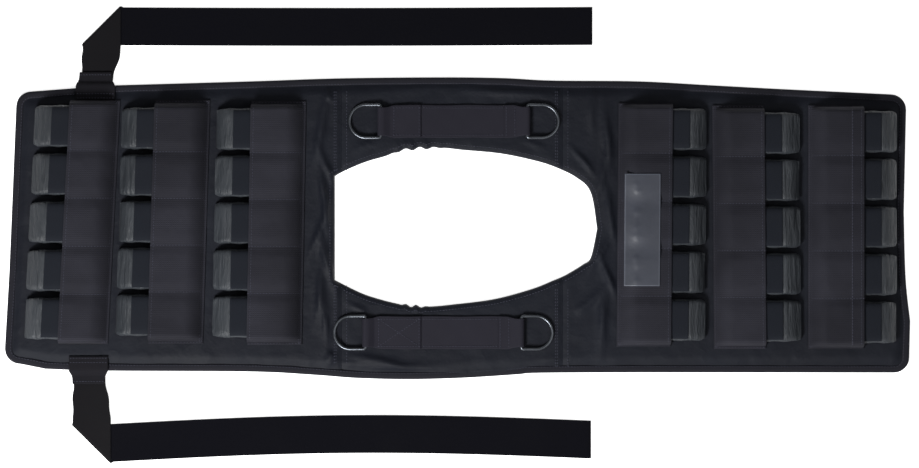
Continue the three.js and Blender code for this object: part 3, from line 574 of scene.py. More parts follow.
def cloth(name, colour, rubbed, yarn=1.2, pick=0.9, rib=0.3, roughness=0.75, wear=0.4, lint=0.15,
          depth=0.3, crease=0.0, crease_scale=60.0, stretch=(1, 1, 1), weave_bump=0.25, sheen=0.03,
          sheen_tint=(0.5, 0.5, 0.55, 1), from_map=True, specular=0.15):
    """A woven cloth. Yarn and pick are its pitches in mm, depth is how far the weave's yarns are
    darkened and lightened as painted shade, and from_map lays it along the piece.
    """
    material, tree, shader = blank_material(name)
    where = node(tree, "ShaderNodeTexCoord")
    place = where.outputs["UV"] if from_map else where.outputs["Object"]
    weave = node(tree, "ShaderNodeGroup", node_tree=YARNS)
    plug(tree, place, weave.inputs["Place"])
    for label, value in (("Yarn Pitch", yarn * MM), ("Pick Pitch", pick * MM), ("Rib", rib)):
        plug(tree, value, weave.inputs[label])
    scuff_and_shade = node(tree, "ShaderNodeGroup", node_tree=WORN_SHADED)
    plug(tree, where.outputs["Object"], scuff_and_shade.inputs["Place"])
    for label, value in (("Color", colour), ("Rubbed", rubbed), ("Wear", wear), ("Lint", lint),
                         ("Shade Depth", depth), ("Shade", weave.outputs["Shade"])):
        plug(tree, value, scuff_and_shade.inputs[label])
    plug(tree, scuff_and_shade.outputs["Color"], shader.inputs["Base Color"])
    rough = maths(tree, "ADD", scuff_and_shade.outputs["Rough Shift"], roughness)
    plug(tree, rough, shader.inputs["Roughness"])
    bump = bumped(tree, weave.outputs["Height"], weave_bump, 0.0003)
    if crease:
        creased = node(tree, "ShaderNodeGroup", node_tree=CREASES)
        plug(tree, where.outputs["Object"], creased.inputs["Place"])
        plug(tree, crease_scale, creased.inputs["Scale"])
        plug(tree, stretch, creased.inputs["Stretch"])
        wide = bumped(tree, creased.outputs["Height"], crease, 0.0015)
        plug(tree, wide.outputs["Normal"], bump.inputs["Normal"])
    plug(tree, bump.outputs["Normal"], shader.inputs["Normal"])
    for label, value in (("Sheen Weight", sheen), ("Sheen Tint", sheen_tint),
                         ("Sheen Roughness", 0.4), ("Specular IOR Level", specular)):
        shader.inputs[label].default_value = value
    return material


def hook_cloth(name):
    """Moulded hooks: a dense field of tiny stiff dots on a dark tape."""
    material = cloth(name, linear("0f1219"), linear("161a21"), 1.0, 1.0, 0.0, 0.8, 0.2, 0.1, 0.3,
                     weave_bump=0.1)
    tree = material.node_tree
    shader = tree.nodes["Principled BSDF"]
    where = node(tree, "ShaderNodeTexCoord")
    dots = node(tree, "ShaderNodeTexVoronoi", feature="F1")
    plug(tree, where.outputs["UV"], dots.inputs["Vector"])
    plug(tree, 900.0, dots.inputs["Scale"])
    plug(tree, 0.35, dots.inputs["Randomness"])
    bump = bumped(tree, dots.outputs["Distance"], 0.6, 0.0005, invert=True)
    plug(tree, bump.outputs["Normal"], shader.inputs["Normal"])
    return material


def ring_metal(name):
    """Dark plated wire, a little uneven in tone."""
    material, tree, shader = blank_material(name)
    place = node(tree, "ShaderNodeTexCoord").outputs["Object"]
    fine = noise(tree, place, 700.0, 4.0, 0.6)
    slow = noise(tree, place, 60.0, 2.0)
    tone = blended(tree, slow, linear("3c3f44"), linear("62666c"))
    plug(tree, tone, shader.inputs["Base Color"])
    shader.inputs["Metallic"].default_value = 0.9
    rough = maths(tree, "MULTIPLY_ADD", slow, 0.14, 0.26)
    plug(tree, rough, shader.inputs["Roughness"])
    bump = bumped(tree, fine, 0.08, 0.0002)
    plug(tree, bump.outputs["Normal"], shader.inputs["Normal"])
    return material


def label_vinyl(name):
    """Clear-faced vinyl over a dark backing, with a plain rim."""
    material, tree, shader = blank_material(name)
    where = node(tree, "ShaderNodeTexCoord")
    split = node(tree, "ShaderNodeSeparateXYZ")
    plug(tree, where.outputs["UV"], split.inputs[0])
    half = (LABEL_WIDTH / 2 * MM, LABEL_LENGTH / 2 * MM)
    inward = [maths(tree, "SUBTRACT", half[k], maths(tree, "ABSOLUTE", split.outputs[k]))
              for k in (0, 1)]
    margin = maths(tree, "MINIMUM", inward[0], inward[1])
    rim = maths(tree, "LESS_THAN", margin, LABEL_RIM * MM)
    slow = noise(tree, where.outputs["Object"], 34.0, 3.0)
    field = blended(tree, slow, linear("20232b"), linear("32353f"))
    plug(tree, blended(tree, rim, field, linear("3a3e48")), shader.inputs["Base Color"])
    rough = blended(tree, rim, 0.42, 0.5, "FLOAT")
    plug(tree, rough, shader.inputs["Roughness"])
    bump = bumped(tree, noise(tree, where.outputs["Object"], 90.0, 3.0), 0.15, 0.002)
    plug(tree, bump.outputs["Normal"], shader.inputs["Normal"])
    return material


PANEL = cloth("panel_nylon", linear("0f1118"), linear("161921"), 0.7, 0.7, 0.0, 0.6, 0.5, 0.1, 0.2,
              crease=0.35, crease_scale=30.0, weave_bump=0.15, from_map=False, specular=0.12)
TAPE = cloth("binding_tape", linear("15151b"), linear("1d1d24"), 3.0, 1.1, 0.85, 0.8, 0.4)
TAB = cloth("tab_tape", linear("0d0c11"), linear("141318"), 2.4, 1.1, 0.8, 0.85, 0.4)
BAND = cloth("band_webbing", linear("19191f"), linear("28282f"), 2.4, 2.0, 0.4, 0.85, 0.8, 0.15, 1.0,
             weave_bump=0.7)
POUCH = cloth("pouch_nylon", linear("25282c"), linear("363a3f"), 0.8, 0.8, 0.0, 0.5, 0.6, 0.1, 0.25,
              crease=0.8, crease_scale=70.0, stretch=(1.9, 0.3, 1.0), from_map=False, specular=0.3)
HOOK = hook_cloth("hook_tape")
WEBBING = cloth("shoulder_webbing", linear("18171f"), linear("222129"), 2.4, 1.0, 0.8, 0.75, 0.4)
VELVET = cloth("strap_loop_face", linear("06060b"), linear("0a0a10"), 0.9, 0.9, 0.0, 0.95, 0.3, 0.15,
               0.25, crease=0.12, crease_scale=200.0, weave_bump=0.2, sheen=0.02, specular=0.08)
REVERSE = cloth("strap_woven_back", linear("070609"), linear("0c0a0e"), 1.8, 1.2, 0.7, 0.85, 0.4,
                sheen_tint=(0.55, 0.5, 0.48, 1))
THREAD = cloth("sewing_thread", linear("33343f"), linear("40414c"), 0.5, 0.5, 0.5, 0.6, 0.3, 0.0,
               from_map=False, sheen=0.05)
METAL = ring_metal("dark_ring_metal")
VINYL = label_vinyl("clear_faced_label")


# Stitches: short threads laid along a line
def stitch_tree():
    tree = bpy.data.node_groups.new("stitch_row", "GeometryNodeTree")
    tree.interface.new_socket("Geometry", in_out="INPUT", socket_type="NodeSocketGeometry")
    for label, value in (("Pitch", 0.0035), ("Stitch Length", 0.0026), ("Thread", 0.0005),
                         ("Uneven", 0.06)):
        socket = tree.interface.new_socket(label, in_out="INPUT", socket_type="NodeSocketFloat")
        socket.default_value = value
    socket = tree.interface.new_socket("Thread Finish", in_out="INPUT", socket_type="NodeSocketMaterial")
    tree.interface.new_socket("Geometry", in_out="OUTPUT", socket_type="NodeSocketGeometry")
    source = tree.nodes.new("NodeGroupInput")
    sink = tree.nodes.new("NodeGroupOutput")
    line = node(tree, "GeometryNodeMeshToCurve")
    plug(tree, source.outputs["Geometry"], line.inputs["Mesh"])
    spaced = node(tree, "GeometryNodeResampleCurve", mode="LENGTH")
    plug(tree, line.outputs["Curve"], spaced.inputs["Curve"])
    plug(tree, source.outputs["Pitch"], spaced.inputs["Length"])
    bead = node(tree, "GeometryNodeMeshIcoSphere")
    bead.inputs["Subdivisions"].default_value = 1
    bead.inputs["Radius"].default_value = 1.0
    size = node(tree, "ShaderNodeCombineXYZ")
    half = maths(tree, "MULTIPLY", source.outputs["Stitch Length"], 0.5)
    plug(tree, source.outputs["Thread"], size.inputs[0])
    plug(tree, source.outputs["Thread"], size.inputs[1])
    plug(tree, half, size.inputs[2])
    tangent = node(tree, "GeometryNodeInputTangent")
    turn = node(tree, "FunctionNodeAlignEulerToVector", axis="Z")
    plug(tree, tangent.outputs[0], turn.inputs["Vector"])
    jitter = node(tree, "FunctionNodeRandomValue", data_type="FLOAT")
    plug(tree, maths(tree, "SUBTRACT", 1.0, source.outputs["Uneven"]), jitter.inputs[2])
    plug(tree, maths(tree, "ADD", 1.0, source.outputs["Uneven"]), jitter.inputs[3])
    jitter.inputs["Seed"].default_value = 7
    scaled = node(tree, "ShaderNodeVectorMath", operation="SCALE")
    plug(tree, size.outputs[0], scaled.inputs[0])
    plug(tree, jitter.outputs[1], scaled.inputs["Scale"])
    placed = node(tree, "GeometryNodeInstanceOnPoints")
    plug(tree, spaced.outputs["Curve"], placed.inputs["Points"])
    plug(tree, bead.outputs["Mesh"], placed.inputs["Instance"])
    plug(tree, turn.outputs["Rotation"], placed.inputs["Rotation"])
    plug(tree, scaled.outputs[0], placed.inputs["Scale"])
    real = node(tree, "GeometryNodeRealizeInstances")
    plug(tree, placed.outputs["Instances"], real.inputs["Geometry"])
    finish = node(tree, "GeometryNodeSetMaterial")
    plug(tree, real.outputs["Geometry"], finish.inputs["Geometry"])
    plug(tree, source.outputs["Thread Finish"], finish.inputs["Material"])
    plug(tree, finish.outputs["Geometry"], sink.inputs["Geometry"])
    return tree


STITCHES = stitch_tree()


def stitched(name, lines, pitch, length, thread, closed=False):
    """A piece of stitches that follow the given lines, each a list of points."""
    points, edges = [], []
    for line in lines:
        first = len(points)
        points += [tuple(p) for p in line]
        edges += [(first + k, first + k + 1) for k in range(len(line) - 1)]
        if closed:
            edges.append((len(points) - 1, first))
    mesh = bpy.data.meshes.new(name)
    placed = (np.array(points, float) + (NECK_X, NECK_Y, 0)) * MM
    mesh.from_pydata(placed.tolist(), edges, [])
    guide = bpy.data.objects.new(name + "_guide", mesh)
    scene.collection.objects.link(guide)
    modifier = guide.modifiers.new("stitches", "NODES")
    modifier.node_group = STITCHES
    values = {"Pitch": pitch * MM, "Stitch Length": length * MM, "Thread": thread * MM,
              "Thread Finish": THREAD}
    for item in STITCHES.interface.items_tree:
        if item.in_out == "INPUT" and item.name in values:
            modifier[item.identifier] = values[item.name]
    bpy.context.view_layer.update()
    made = bpy.data.meshes.new_from_object(guide.evaluated_get(bpy.context.evaluated_depsgraph_get()))
    bpy.data.objects.remove(guide)
    made.name = name
    for face in made.polygons:
        face.use_smooth = True
    obj = bpy.data.objects.new(name, made)
    scene.collection.objects.link(obj)
    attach(obj, "vest")


def kept(obj, slot, *nodes, body="vest"):
    """Gives a piece its body and hides the CAD nodes that it takes the place of. Slot is not used."""
    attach(obj, body)
    if nodes:
        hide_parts(*nodes)


# Outlines
def lane_x(band, drop):
    seam = LEFT_SEAM if band["side"] < 0 else RIGHT_SEAM
    return seam + band["side"] * COLUMN_PITCH * (band["lane"] + band["slant"] * drop)


LEFT_END = lane_x(BANDS[0], 0.5) - POUCH_REACH * BANDS[0]["reach"] - LEFT_END_MARGIN
RIGHT_END = lane_x(BANDS[5], 0.5) + POUCH_REACH * BANDS[5]["reach"] + RIGHT_END_MARGIN
VEST_LENGTH = RIGHT_END - LEFT_END


def vest_outline():
    """The whole outer edge, anticlockwise from the lower left."""
    low = [(LEFT_END + a * VEST_LENGTH, -h * HALF_WIDTH) for a, h in LOWER_EDGE]
    high = [(LEFT_END + a * VEST_LENGTH, h * HALF_WIDTH) for a, h in UPPER_EDGE][::-1]
    right = [(RIGHT_END - d * VEST_LENGTH, h * HALF_WIDTH) for h, d in RIGHT_EDGE][::-1]
    left = [(LEFT_END + d * VEST_LENGTH, h * HALF_WIDTH) for h, d in LEFT_EDGE]
    inner = lambda p: LEFT_END + 2 * CORNER < p[0] < RIGHT_END - 2 * CORNER
    quarter = math.pi / 2
    parts = [
        spline([p for p in low if inner(p)], 120),
        arc((right[0][0] - CORNER, low[-1][1] + CORNER), CORNER, -quarter, 0, 9),
        spline(right[1:-1], 30),
        arc((right[-1][0] - CORNER, high[0][1] - CORNER), CORNER, 0, quarter, 9),
        spline([p for p in high if inner(p)], 120),
        arc((left[0][0] + CORNER, high[-1][1] - CORNER), CORNER, quarter, 2 * quarter, 9),
        spline(left[1:-1], 30),
        arc((left[-1][0] + CORNER, low[0][1] + CORNER), CORNER, 2 * quarter, 3 * quarter, 9),
    ]
    loop = np.concatenate(parts)
    return resample(np.concatenate([loop, loop[:1]]), 3.0)[:-1]


def ruffle(x, side):
    """How far the gathers push the neck edge out, from -1 to 1."""
    along = np.asarray(x) / NECK_LENGTH + 0.5
    total = np.zeros_like(along)
    for where, start, end, waves in GATHERS:
        share = (along - start) / (end - start)
        wave = np.sin(share * waves * 2 * math.pi) * np.sin(np.clip(share, 0, 1) * math.pi)
        total = total + np.where((share > 0) & (share < 1) & (side == where), wave, 0)
    return total


def neck_outline():
    place = lambda rows: [((a - 0.5) * NECK_LENGTH, h * NECK_WIDTH / 2) for a, h in rows]
    top = resample(spline(place(NECK_TOP + [NECK_SIDE]), 200), 2.0)
    bottom = resample(spline(place([NECK_SIDE] + NECK_BOTTOM), 200), 2.0)
    top[:, 1] += RUFFLE_DEPTH * ruffle(top[:, 0], 1)
    bottom[:, 1] -= RUFFLE_DEPTH * ruffle(bottom[:, 0], -1)
    side = np.linspace(bottom[-1], top[0], 56)[1:-1]
    return np.concatenate([top, bottom[1:], side])[::-1]


def stretch_of(loop, low, high, side):
    """The part of a loop between two x places, on one side of the vest or, for 0, on both."""
    within = (loop[:, 0] > low) & (loop[:, 0] < high) & (loop[:, 1] * side >= 0)
    start = next(k for k in range(len(loop)) if not within[k] and within[(k + 1) % len(loop)])
    turned = np.roll(loop, -start, 0)
    inside = np.roll(within, -start)
    kept_points = turned[inside]
    last = int(np.flatnonzero(inside)[-1])

    def meet(outer, inner):
        line = low if outer[0] <= low else high
        return mix(outer, inner, (line - outer[0]) / (inner[0] - outer[0]))

    ends = [meet(turned[0], kept_points[0]), meet(turned[(last + 1) % len(turned)], turned[last])]
    clear = [p for p in kept_points if min(np.hypot(*(p - e)) for e in ends) > 1.0]
    return np.array([ends[0], *clear, ends[1]])


OUTLINE = vest_outline()
PAD_OUTLINE = inset(OUTLINE, BINDING_GAP)
NECK = neck_outline()
FAR = 2 * VEST_LENGTH


def band_place(band, out, across):
    """Vest x and y of a place given outwards from a band's foot and along the band."""
    foot = lane_x(band, -across / BAND_LENGTH) - band["side"] * BAND_WIDTH * band["width"]
    return foot + band["side"] * out, across + band["shift"] * POUCH_PITCH


# Padded cloth
def cover_share(x, y):
    """1 where a band or its pouches lie over the panel, 0 in the open."""
    cover = np.zeros_like(x)
    for band in BANDS:
        across = y - band["shift"] * POUCH_PITCH
        mouth = lane_x(band, -across / BAND_LENGTH)
        out = (x - mouth) * band["side"] + BAND_WIDTH * band["width"]
        reach = BAND_WIDTH * band["width"] + POUCH_REACH * band["reach"]
        inside = smooth(-3, 1, out) * smooth(-3, 1, reach - out)
        inside = inside * smooth(-3, 1, BAND_LENGTH / 2 - np.abs(across))
        cover = np.maximum(cover, inside)
    return cover


def webbing_share(x, y):
    """1 under the shoulder webbing and its rings, where the padding is pressed flat."""
    near = smooth(-2, 3, REST_HALF - np.abs(np.abs(y) - WEBBING_OFFSET))
    return near * smooth(-2, 3, x - REST_LEFT) * smooth(-2, 3, REST_RIGHT - x)


def pad_surface(x, y):
    """Height of the padding away from its edges, with its wrinkles in the open."""
    height = PANEL_FILL
    for swell, scale, seed in PAD_RIPPLES:
        height = height + swell * ripple(x, y, scale, seed)
    extra = 0
    for fold_x, fold_y, turn, length, width, rise in FOLDS:
        angle = math.radians(turn)
        dx, dy = x - fold_x, y - fold_y
        along = (dx * math.cos(angle) + dy * math.sin(angle)) / length
        bend = 0.18 * width * np.sin(along * 2.4 + fold_x)
        across = (dy * math.cos(angle) - dx * math.sin(angle) + bend) / width
        lean = 1 - 0.55 * np.tanh(2.2 * across)
        extra = extra + FOLD_GAIN * rise * lean * np.exp(-along ** 2 - across ** 2)
    side = np.sign(y)
    depth = np.abs(y) - NECK_WIDTH / 2
    gathered = np.where(side > 0, ruffle(x, 1), ruffle(x, -1))
    extra = extra + RUFFLE_HEIGHT * 0.8 * np.abs(gathered) * np.exp(-(depth / 8) ** 2)
    quiet = 1 - np.maximum(cover_share(x, y), webbing_share(x, y))
    return np.where(quiet < 1, np.minimum(height, PANEL_TOP - 0.1), height) + extra * quiet


def pad_height(x, y, outer, neck, seam):
    """Top of a padded piece, from the distances to its bound edge, its neck edge and its seam."""
    bound = 0.3 + 0.7 * smooth(*BOUND_FADE, outer)
    rolled = 0.2 + 0.8 * quarter_round(neck / NECK_ROLL)
    sewn = 0.72 + 0.28 * smooth(0, SEAM_FADE, seam)
    edge = np.sqrt(np.clip(np.minimum(outer, neck) / TOP_ROUND, 0, 1))
    return PAD_MIDDLE + (pad_surface(x, y) - PAD_MIDDLE) * bound * rolled * sewn * edge


def padded_piece(name, cad_node, low, high, side):
    """One stuffed piece between two seams, meshed finely along its edges and evenly inside."""
    outer_line = stretch_of(PAD_OUTLINE, low, high, side)
    neck_line = stretch_of(NECK, low, high, side)[::-1]
    loop = np.concatenate([
        outer_line,
        resample([outer_line[-1], neck_line[0]], 2.5)[1:-1],
        neck_line,
        resample([neck_line[-1], outer_line[0]], 2.5)[1:-1],
    ])
    count = len(loop)
    closed = np.concatenate([loop, loop[:1]])
    xs = np.arange(loop[:, 0].min(), loop[:, 0].max(), PAD_STEP)
    ys = np.arange(loop[:, 1].min(), loop[:, 1].max(), PAD_STEP)
    field = np.stack(np.meshgrid(xs, ys, indexing="ij"), 2).reshape(-1, 2)
    field = field[distance_to(field, closed) > 4.2]
    rings = []
    for depth in PAD_RIM_RINGS:
        rim_ring = inset(loop, depth)
        rings.append(rim_ring[distance_to(rim_ring, closed) > 0.9 * depth])
    everything = [Vector(p) for p in np.concatenate([loop, *rings, field])]
    edges = [(k, (k + 1) % count) for k in range(count)]
    points, _, triangles, _, _, _ = delaunay_2d_cdt(everything, edges, [list(range(count))], 1, 1e-4)
    flat = np.array([tuple(p) for p in points])
    outer = distance_to(flat, outer_line)
    neck = distance_to(flat, neck_line)
    seam = np.minimum(np.abs(flat[:, 0] - LEFT_SEAM), np.abs(flat[:, 0] - RIGHT_SEAM))
    top = pad_height(flat[:, 0], flat[:, 1], outer, neck, seam)
    nearest = np.minimum(np.minimum(outer, neck), seam)
    rim = nearest < 1e-3
    under = PAD_MIDDLE - PAD_UNDER * quarter_round(nearest / UNDER_ROUND)
    points = np.concatenate([np.c_[flat, top], np.c_[flat, under]])
    lower = np.where(rim, np.arange(len(flat)), np.arange(len(flat)) + len(flat))
    faces = [tuple(t) for t in triangles] + [tuple(lower[list(t)][::-1]) for t in triangles]
    used = sorted({k for face in faces for k in face})
    place = {k: i for i, k in enumerate(used)}
    faces = [tuple(place[k] for k in face) for face in faces]
    obj = finished(name, points[used], faces, None, PANEL)
    kept(obj, "panel_cloth", cad_node)


padded_piece("padded_left_panel", "left_panel", -FAR, LEFT_SEAM, 0)
padded_piece("padded_right_panel", "right_panel", RIGHT_SEAM, FAR, 0)
padded_piece("padded_shoulder_upper", "shoulder_upper", LEFT_SEAM, RIGHT_SEAM, 1)
padded_piece("padded_shoulder_lower", "shoulder_lower", LEFT_SEAM, RIGHT_SEAM, -1)


# Edge binding: one tape folded round the padded edge
def binding():
    count = len(OUTLINE)
    run = np.linalg.norm(np.roll(OUTLINE, -1, 0) - OUTLINE, axis=1)
    along = np.r_[0, np.cumsum(run)[:-1]]
    wave = ripple(OUTLINE[:, 0], OUTLINE[:, 1], 30, 8)
    rings = []
    for offset, height in BINDING_SECTION:
        depth = offset + (0.25 * wave if offset > 7 else 0)
        lift = height + (0.18 * wave if height > 4 else 0)
        ring = OUTLINE + (inset(OUTLINE, 1.0) - OUTLINE) * np.reshape(depth, (-1, 1))
        rings.append(np.c_[ring, np.broadcast_to(lift, count)])
    grid = np.stack(rings, 1)
    size = len(BINDING_SECTION)
    faces, maps = [], []
    for i in range(count):
        j = (i + 1) % count
        for k in range(size):
            m = (k + 1) % size
            faces.append((i * size + k, i * size + m, j * size + m, j * size + k))
        maps += [(k * 2.5, along[i]) for k in range(size)]
    obj = finished("folded_edge_binding", grid.reshape(-1, 3), faces, np.array(maps), TAPE)
    kept(obj, "tape", "edge_binding")
    line = inset(OUTLINE, BINDING_STITCH_IN)
    height = BINDING_STITCH_HEIGHT + 0.12 * ripple(line[:, 0], line[:, 1], 30, 8)
    stitched("binding_stitches", [np.c_[line, height]], *CLOTH_STITCH, closed=True)


binding()


# Pocket bands
def band_rise(band, out, across):
    """Share of its full rise that a band has: up from its foot, down at its ends, dipped between
    the pouches."""
    pitch = POUCH_PITCH * band["spread"]
    share = np.clip((out - 0.4 * BAND_FOOT) / (1.15 * BAND_RISE), 0, 1)
    lift = 1 - (1 - share) ** 2.1
    far = 2 * pitch + POUCH_WIDTH / 2 + BAND_END_SPARE
    ends = quarter_round((far - np.abs(across)) / BAND_END_ROUND)
    dips = 0
    for k in range(ROWS - 1):
        middle = (k - 1.5) * pitch
        near = (across - middle) / DIP_WIDTH
        line = (across - middle) / DIP_LINE_WIDTH
        dips = dips + 0.75 * np.exp(-near ** 2) + 0.1 * np.exp(-line ** 2)
    slack = 1 - BAND_DIP / BAND_RISE * dips
    x, y = band_place(band, out, across)
    uneven = 1 + 0.018 * ripple(x, y, 38, 10 + band["name"]) + 0.008 * ripple(x, y, 13, 30)
    return np.clip(lift * ends * slack * uneven, 0, 1.0)


def hem_step(band, out):
    """Extra thickness of the hem strip along the mouth of the last band."""
    fold = BAND_WIDTH * band["width"] - HEM_WIDTH
    return HEM_WALL * smooth(-0.9, 0.1, out - fold) * (band["name"] == HEM_BAND)


def band_top(band, out, across):
    x, y = band_place(band, out, across)
    rise = band_rise(band, out, across) * BAND_RISE + hem_step(band, out)
    return np.stack([x, y, BAND_BASE + BAND_WALL + rise], -1)


def pocket_band(band):
    width = BAND_WIDTH * band["width"]
    fold = width - HEM_WIDTH
    outs = np.concatenate([
        [0, 0.5],
        np.arange(1.8, fold - 1.8, 1.6),
        fold + np.array([-1, -0.5, 0, 0.5]),
        np.arange(fold + 1.8, width - 1.5, 1.6),
        [width - 0.6, width],
    ])
    acrosses = edged(-BAND_LENGTH / 2, BAND_LENGTH / 2, 0.5, 1.5, 158)
    out, across = np.meshgrid(outs, acrosses, indexing="ij")
    middle = band_top(band, out, across)
    wall = BAND_WALL + hem_step(band, out)
    middle[:, :, 2] -= wall / 2
    obj = thick_sheet(f"woven_band_{band['name']}", middle, wall, np.stack([out, across], 2), BAND)
    kept(obj, "band_cloth", f"pocket_band_{band['name']}")


for band in BANDS:
    pocket_band(band)


# Weight pouches
def pouch_form(variant):
    """A stuffed bag with its inner end at x -40 and its outer end at x 37, before it is placed."""
    local = np.random.default_rng(100 + variant)
    xs = mix(-POUCH_HIDDEN, POUCH_REACH, np.linspace(0, 1, FORM_ROWS))
    turn = np.linspace(0, 2 * math.pi, FORM_AROUND, endpoint=False)
    cosine, sine = np.cos(turn), np.sin(turn)
    side = np.sign(cosine) * np.abs(cosine) ** 0.36
    lift = np.sign(sine) * np.abs(sine) ** 0.5
    points = []
    phases = local.uniform(0, 6.28, 4)
    for x in xs:
        inner = np.clip((x + POUCH_HIDDEN) / 7, 0, 1)
        outer = np.clip((POUCH_REACH - x) / 15, 0, 1)
        tall = min(0.55 + 0.45 * math.sin(inner * math.pi / 2),
                   0.34 + 0.66 * math.sin(outer * math.pi / 2))
        wide = min(0.9 + 0.1 * inner, 0.93 + 0.07 * min(1, outer * 3.5))
        half = POUCH_WIDTH / 2 * wide - 0.3
        height = (POUCH_THICKNESS - 0.3) * tall
        free = smooth(PATCH_REACH, PATCH_REACH + 4, x)
        streak = np.sin(x * 1.5 + phases[0] + 1.4 * np.sin(side * 2 + phases[3]))
        crumple = 0.4 * free * (streak + 0.6 * np.sin(turn * 5 + phases[1]))
        y = side * (half + 0.4 * np.sin(x * 0.3 + phases[2]) * (1 - np.abs(lift)))
        z = height * (0.5 + 0.5 * lift) + crumple * np.clip(lift, 0, 1)
        points.append(np.stack([np.full(FORM_AROUND, x), y, z], 1))
    return np.array(points)


def form_faces():
    """The faces of a pouch form: its side, and one face over either end."""
    faces = []
    for row_start in range(0, (FORM_ROWS - 1) * FORM_AROUND, FORM_AROUND):
        after = row_start + FORM_AROUND
        for k in range(FORM_AROUND):
            m = (k + 1) % FORM_AROUND
            faces.append((row_start + k, after + k, after + m, row_start + m))
    last = (FORM_ROWS - 1) * FORM_AROUND
    outer_end = tuple(last + k for k in reversed(range(FORM_AROUND)))
    return faces + [tuple(range(FORM_AROUND)), outer_end]


def stuffed(form, variant):
    """The form's free end after a pressure simulation, with a cap on how far a point may move."""
    start = form * (0.97, 0.97, 0.95)
    mesh = bpy.data.meshes.new("stuffing")
    mesh.from_pydata((start.reshape(-1, 3) * MM).tolist(), [], form_faces())
    bag = bpy.data.objects.new("stuffing", mesh)
    scene.collection.objects.link(bag)
    cloth_settings = bag.modifiers.new("stuffed", "CLOTH").settings
    cloth_settings.use_pressure = True
    cloth_settings.uniform_pressure_force = PUFF_PRESSURE
    cloth_settings.effector_weights.gravity = 0
    cloth_settings.bending_stiffness = 0.4 + 0.1 * variant
    for frame_number in range(1, PUFF_FRAMES + 1):
        scene.frame_set(frame_number)
    settled = bag.evaluated_get(bpy.context.evaluated_depsgraph_get()).data
    moved = np.zeros(form.size)
    settled.vertices.foreach_get("co", moved)
    moved = moved.reshape(form.shape) / MM
    bpy.data.objects.remove(bag)
    scene.frame_set(1)
    change = np.clip(moved - form, -PUFF_CAP, PUFF_CAP)
    change[:, :, 0] = np.minimum(change[:, :, 0], 0)
    change[:, :, 1] *= 0.3
    free = smooth(PATCH_REACH + 1, PATCH_REACH + 8, form[:, :, 0])[:, :, None]
    settled_form = form + change * free
    settled_form[:, :, 2] = np.maximum(settled_form[:, :, 2], 0)
    return settled_form


POUCH_FORMS = [pouch_form(k) for k in range(FORM_COUNT)]
POUCH_FORMS = [stuffed(form, k) for k, form in enumerate(POUCH_FORMS)]


def pouch(band, row):
    """A weight pouch laid in its pocket, then its hook patch draped on it."""
    number = ROWS - row
    form = POUCH_FORMS[(band["name"] * 3 + row) % FORM_COUNT]
    reach = POUCH_REACH * band["reach"]
    out = form[:, :, 0]
    free = (reach - PATCH_REACH) / (POUCH_REACH - PATCH_REACH)
    out = np.where(out > PATCH_REACH, PATCH_REACH + (out - PATCH_REACH) * free, out)
    centre = (row - (ROWS - 1) / 2) * POUCH_PITCH * band["spread"]
    x, y = band_place(band, BAND_WIDTH * band["width"] + out, centre + form[:, :, 1])
    points = np.stack([x, y, BAND_BASE + form[:, :, 2]], 2)
    name = f"weight_pouch_{band['name']}_{number}"
    obj = finished(name, points.reshape(-1, 3), form_faces(), None, POUCH, smooth_angle=50)
    kept(obj, "pouch_cloth", f"pouch_{band['name']}_{number}")

    edit = bmesh.new()
    edit.from_mesh(obj.data)
    surface = BVHTree.FromBMesh(edit)
    edit.free()
    half = POUCH_WIDTH / 2 - PATCH_MARGIN
    inner_outs = np.linspace(0.4 - PATCH_TUCK, PATCH_REACH - 0.4, 16)
    outs = np.concatenate([[-PATCH_TUCK], inner_outs, [PATCH_REACH]])
    sides = np.concatenate([[-half], np.linspace(0.4 - half, half - 0.4, 20), [half]])
    out, across = np.meshgrid(outs, sides, indexing="ij")
    x, y = band_place(band, BAND_WIDTH * band["width"] + out, centre + across)
    z = np.zeros_like(x)
    for place in np.ndindex(x.shape):
        start = Vector(((x[place] + NECK_X) * MM, (y[place] + NECK_Y) * MM, 0.1))
        hit = surface.ray_cast(start, Vector((0, 0, -1)))[0]
        z[place] = hit.z / MM if hit else BAND_BASE + POUCH_THICKNESS
    middle = np.stack([x, y, z + PATCH_WALL / 2 + 0.05], 2)
    coords = np.stack([out, across], 2)
    patch = thick_sheet(f"hook_patch_{band['name']}_{number}", middle, PATCH_WALL, coords, HOOK)
    kept(patch, "hook_patch")


for band in BANDS:
    for row in range(ROWS):
        pouch(band, row)


# Label on the fourth band
def label():
    """A stiff sheet that lies taut over the dips of the band."""
    band = BANDS[3]
    width = BAND_WIDTH * band["width"]
    start = LABEL_FROM * width
    middle_across = LABEL_MIDDLE * LABEL_LENGTH
    us = edged(0, LABEL_WIDTH, 0.4, 1.2, 22)
    vs = edged(0, LABEL_LENGTH, 0.4, 1.2, 70)
    u, v = np.meshgrid(us, vs, indexing="ij")
    across = middle_across - LABEL_LENGTH / 2 + v
    middle = band_top(band, start + u, across)
    under = middle[:, :, 2]
    taut = under.copy()
    for _ in range(TAUT_PASSES):
        taut = np.maximum(under, levelled(taut))
    for _ in range(SOFT_PASSES):
        taut = levelled(taut)
    middle[:, :, 2] = np.maximum(taut, under - 0.1) + 0.3 + LABEL_WALL / 2
    coords = np.stack([u - LABEL_WIDTH / 2, v - LABEL_LENGTH / 2], 2)
    obj = thick_sheet("bare_label", middle, LABEL_WALL, coords, VINYL)
    kept(obj, "clear_vinyl", "label")


label()


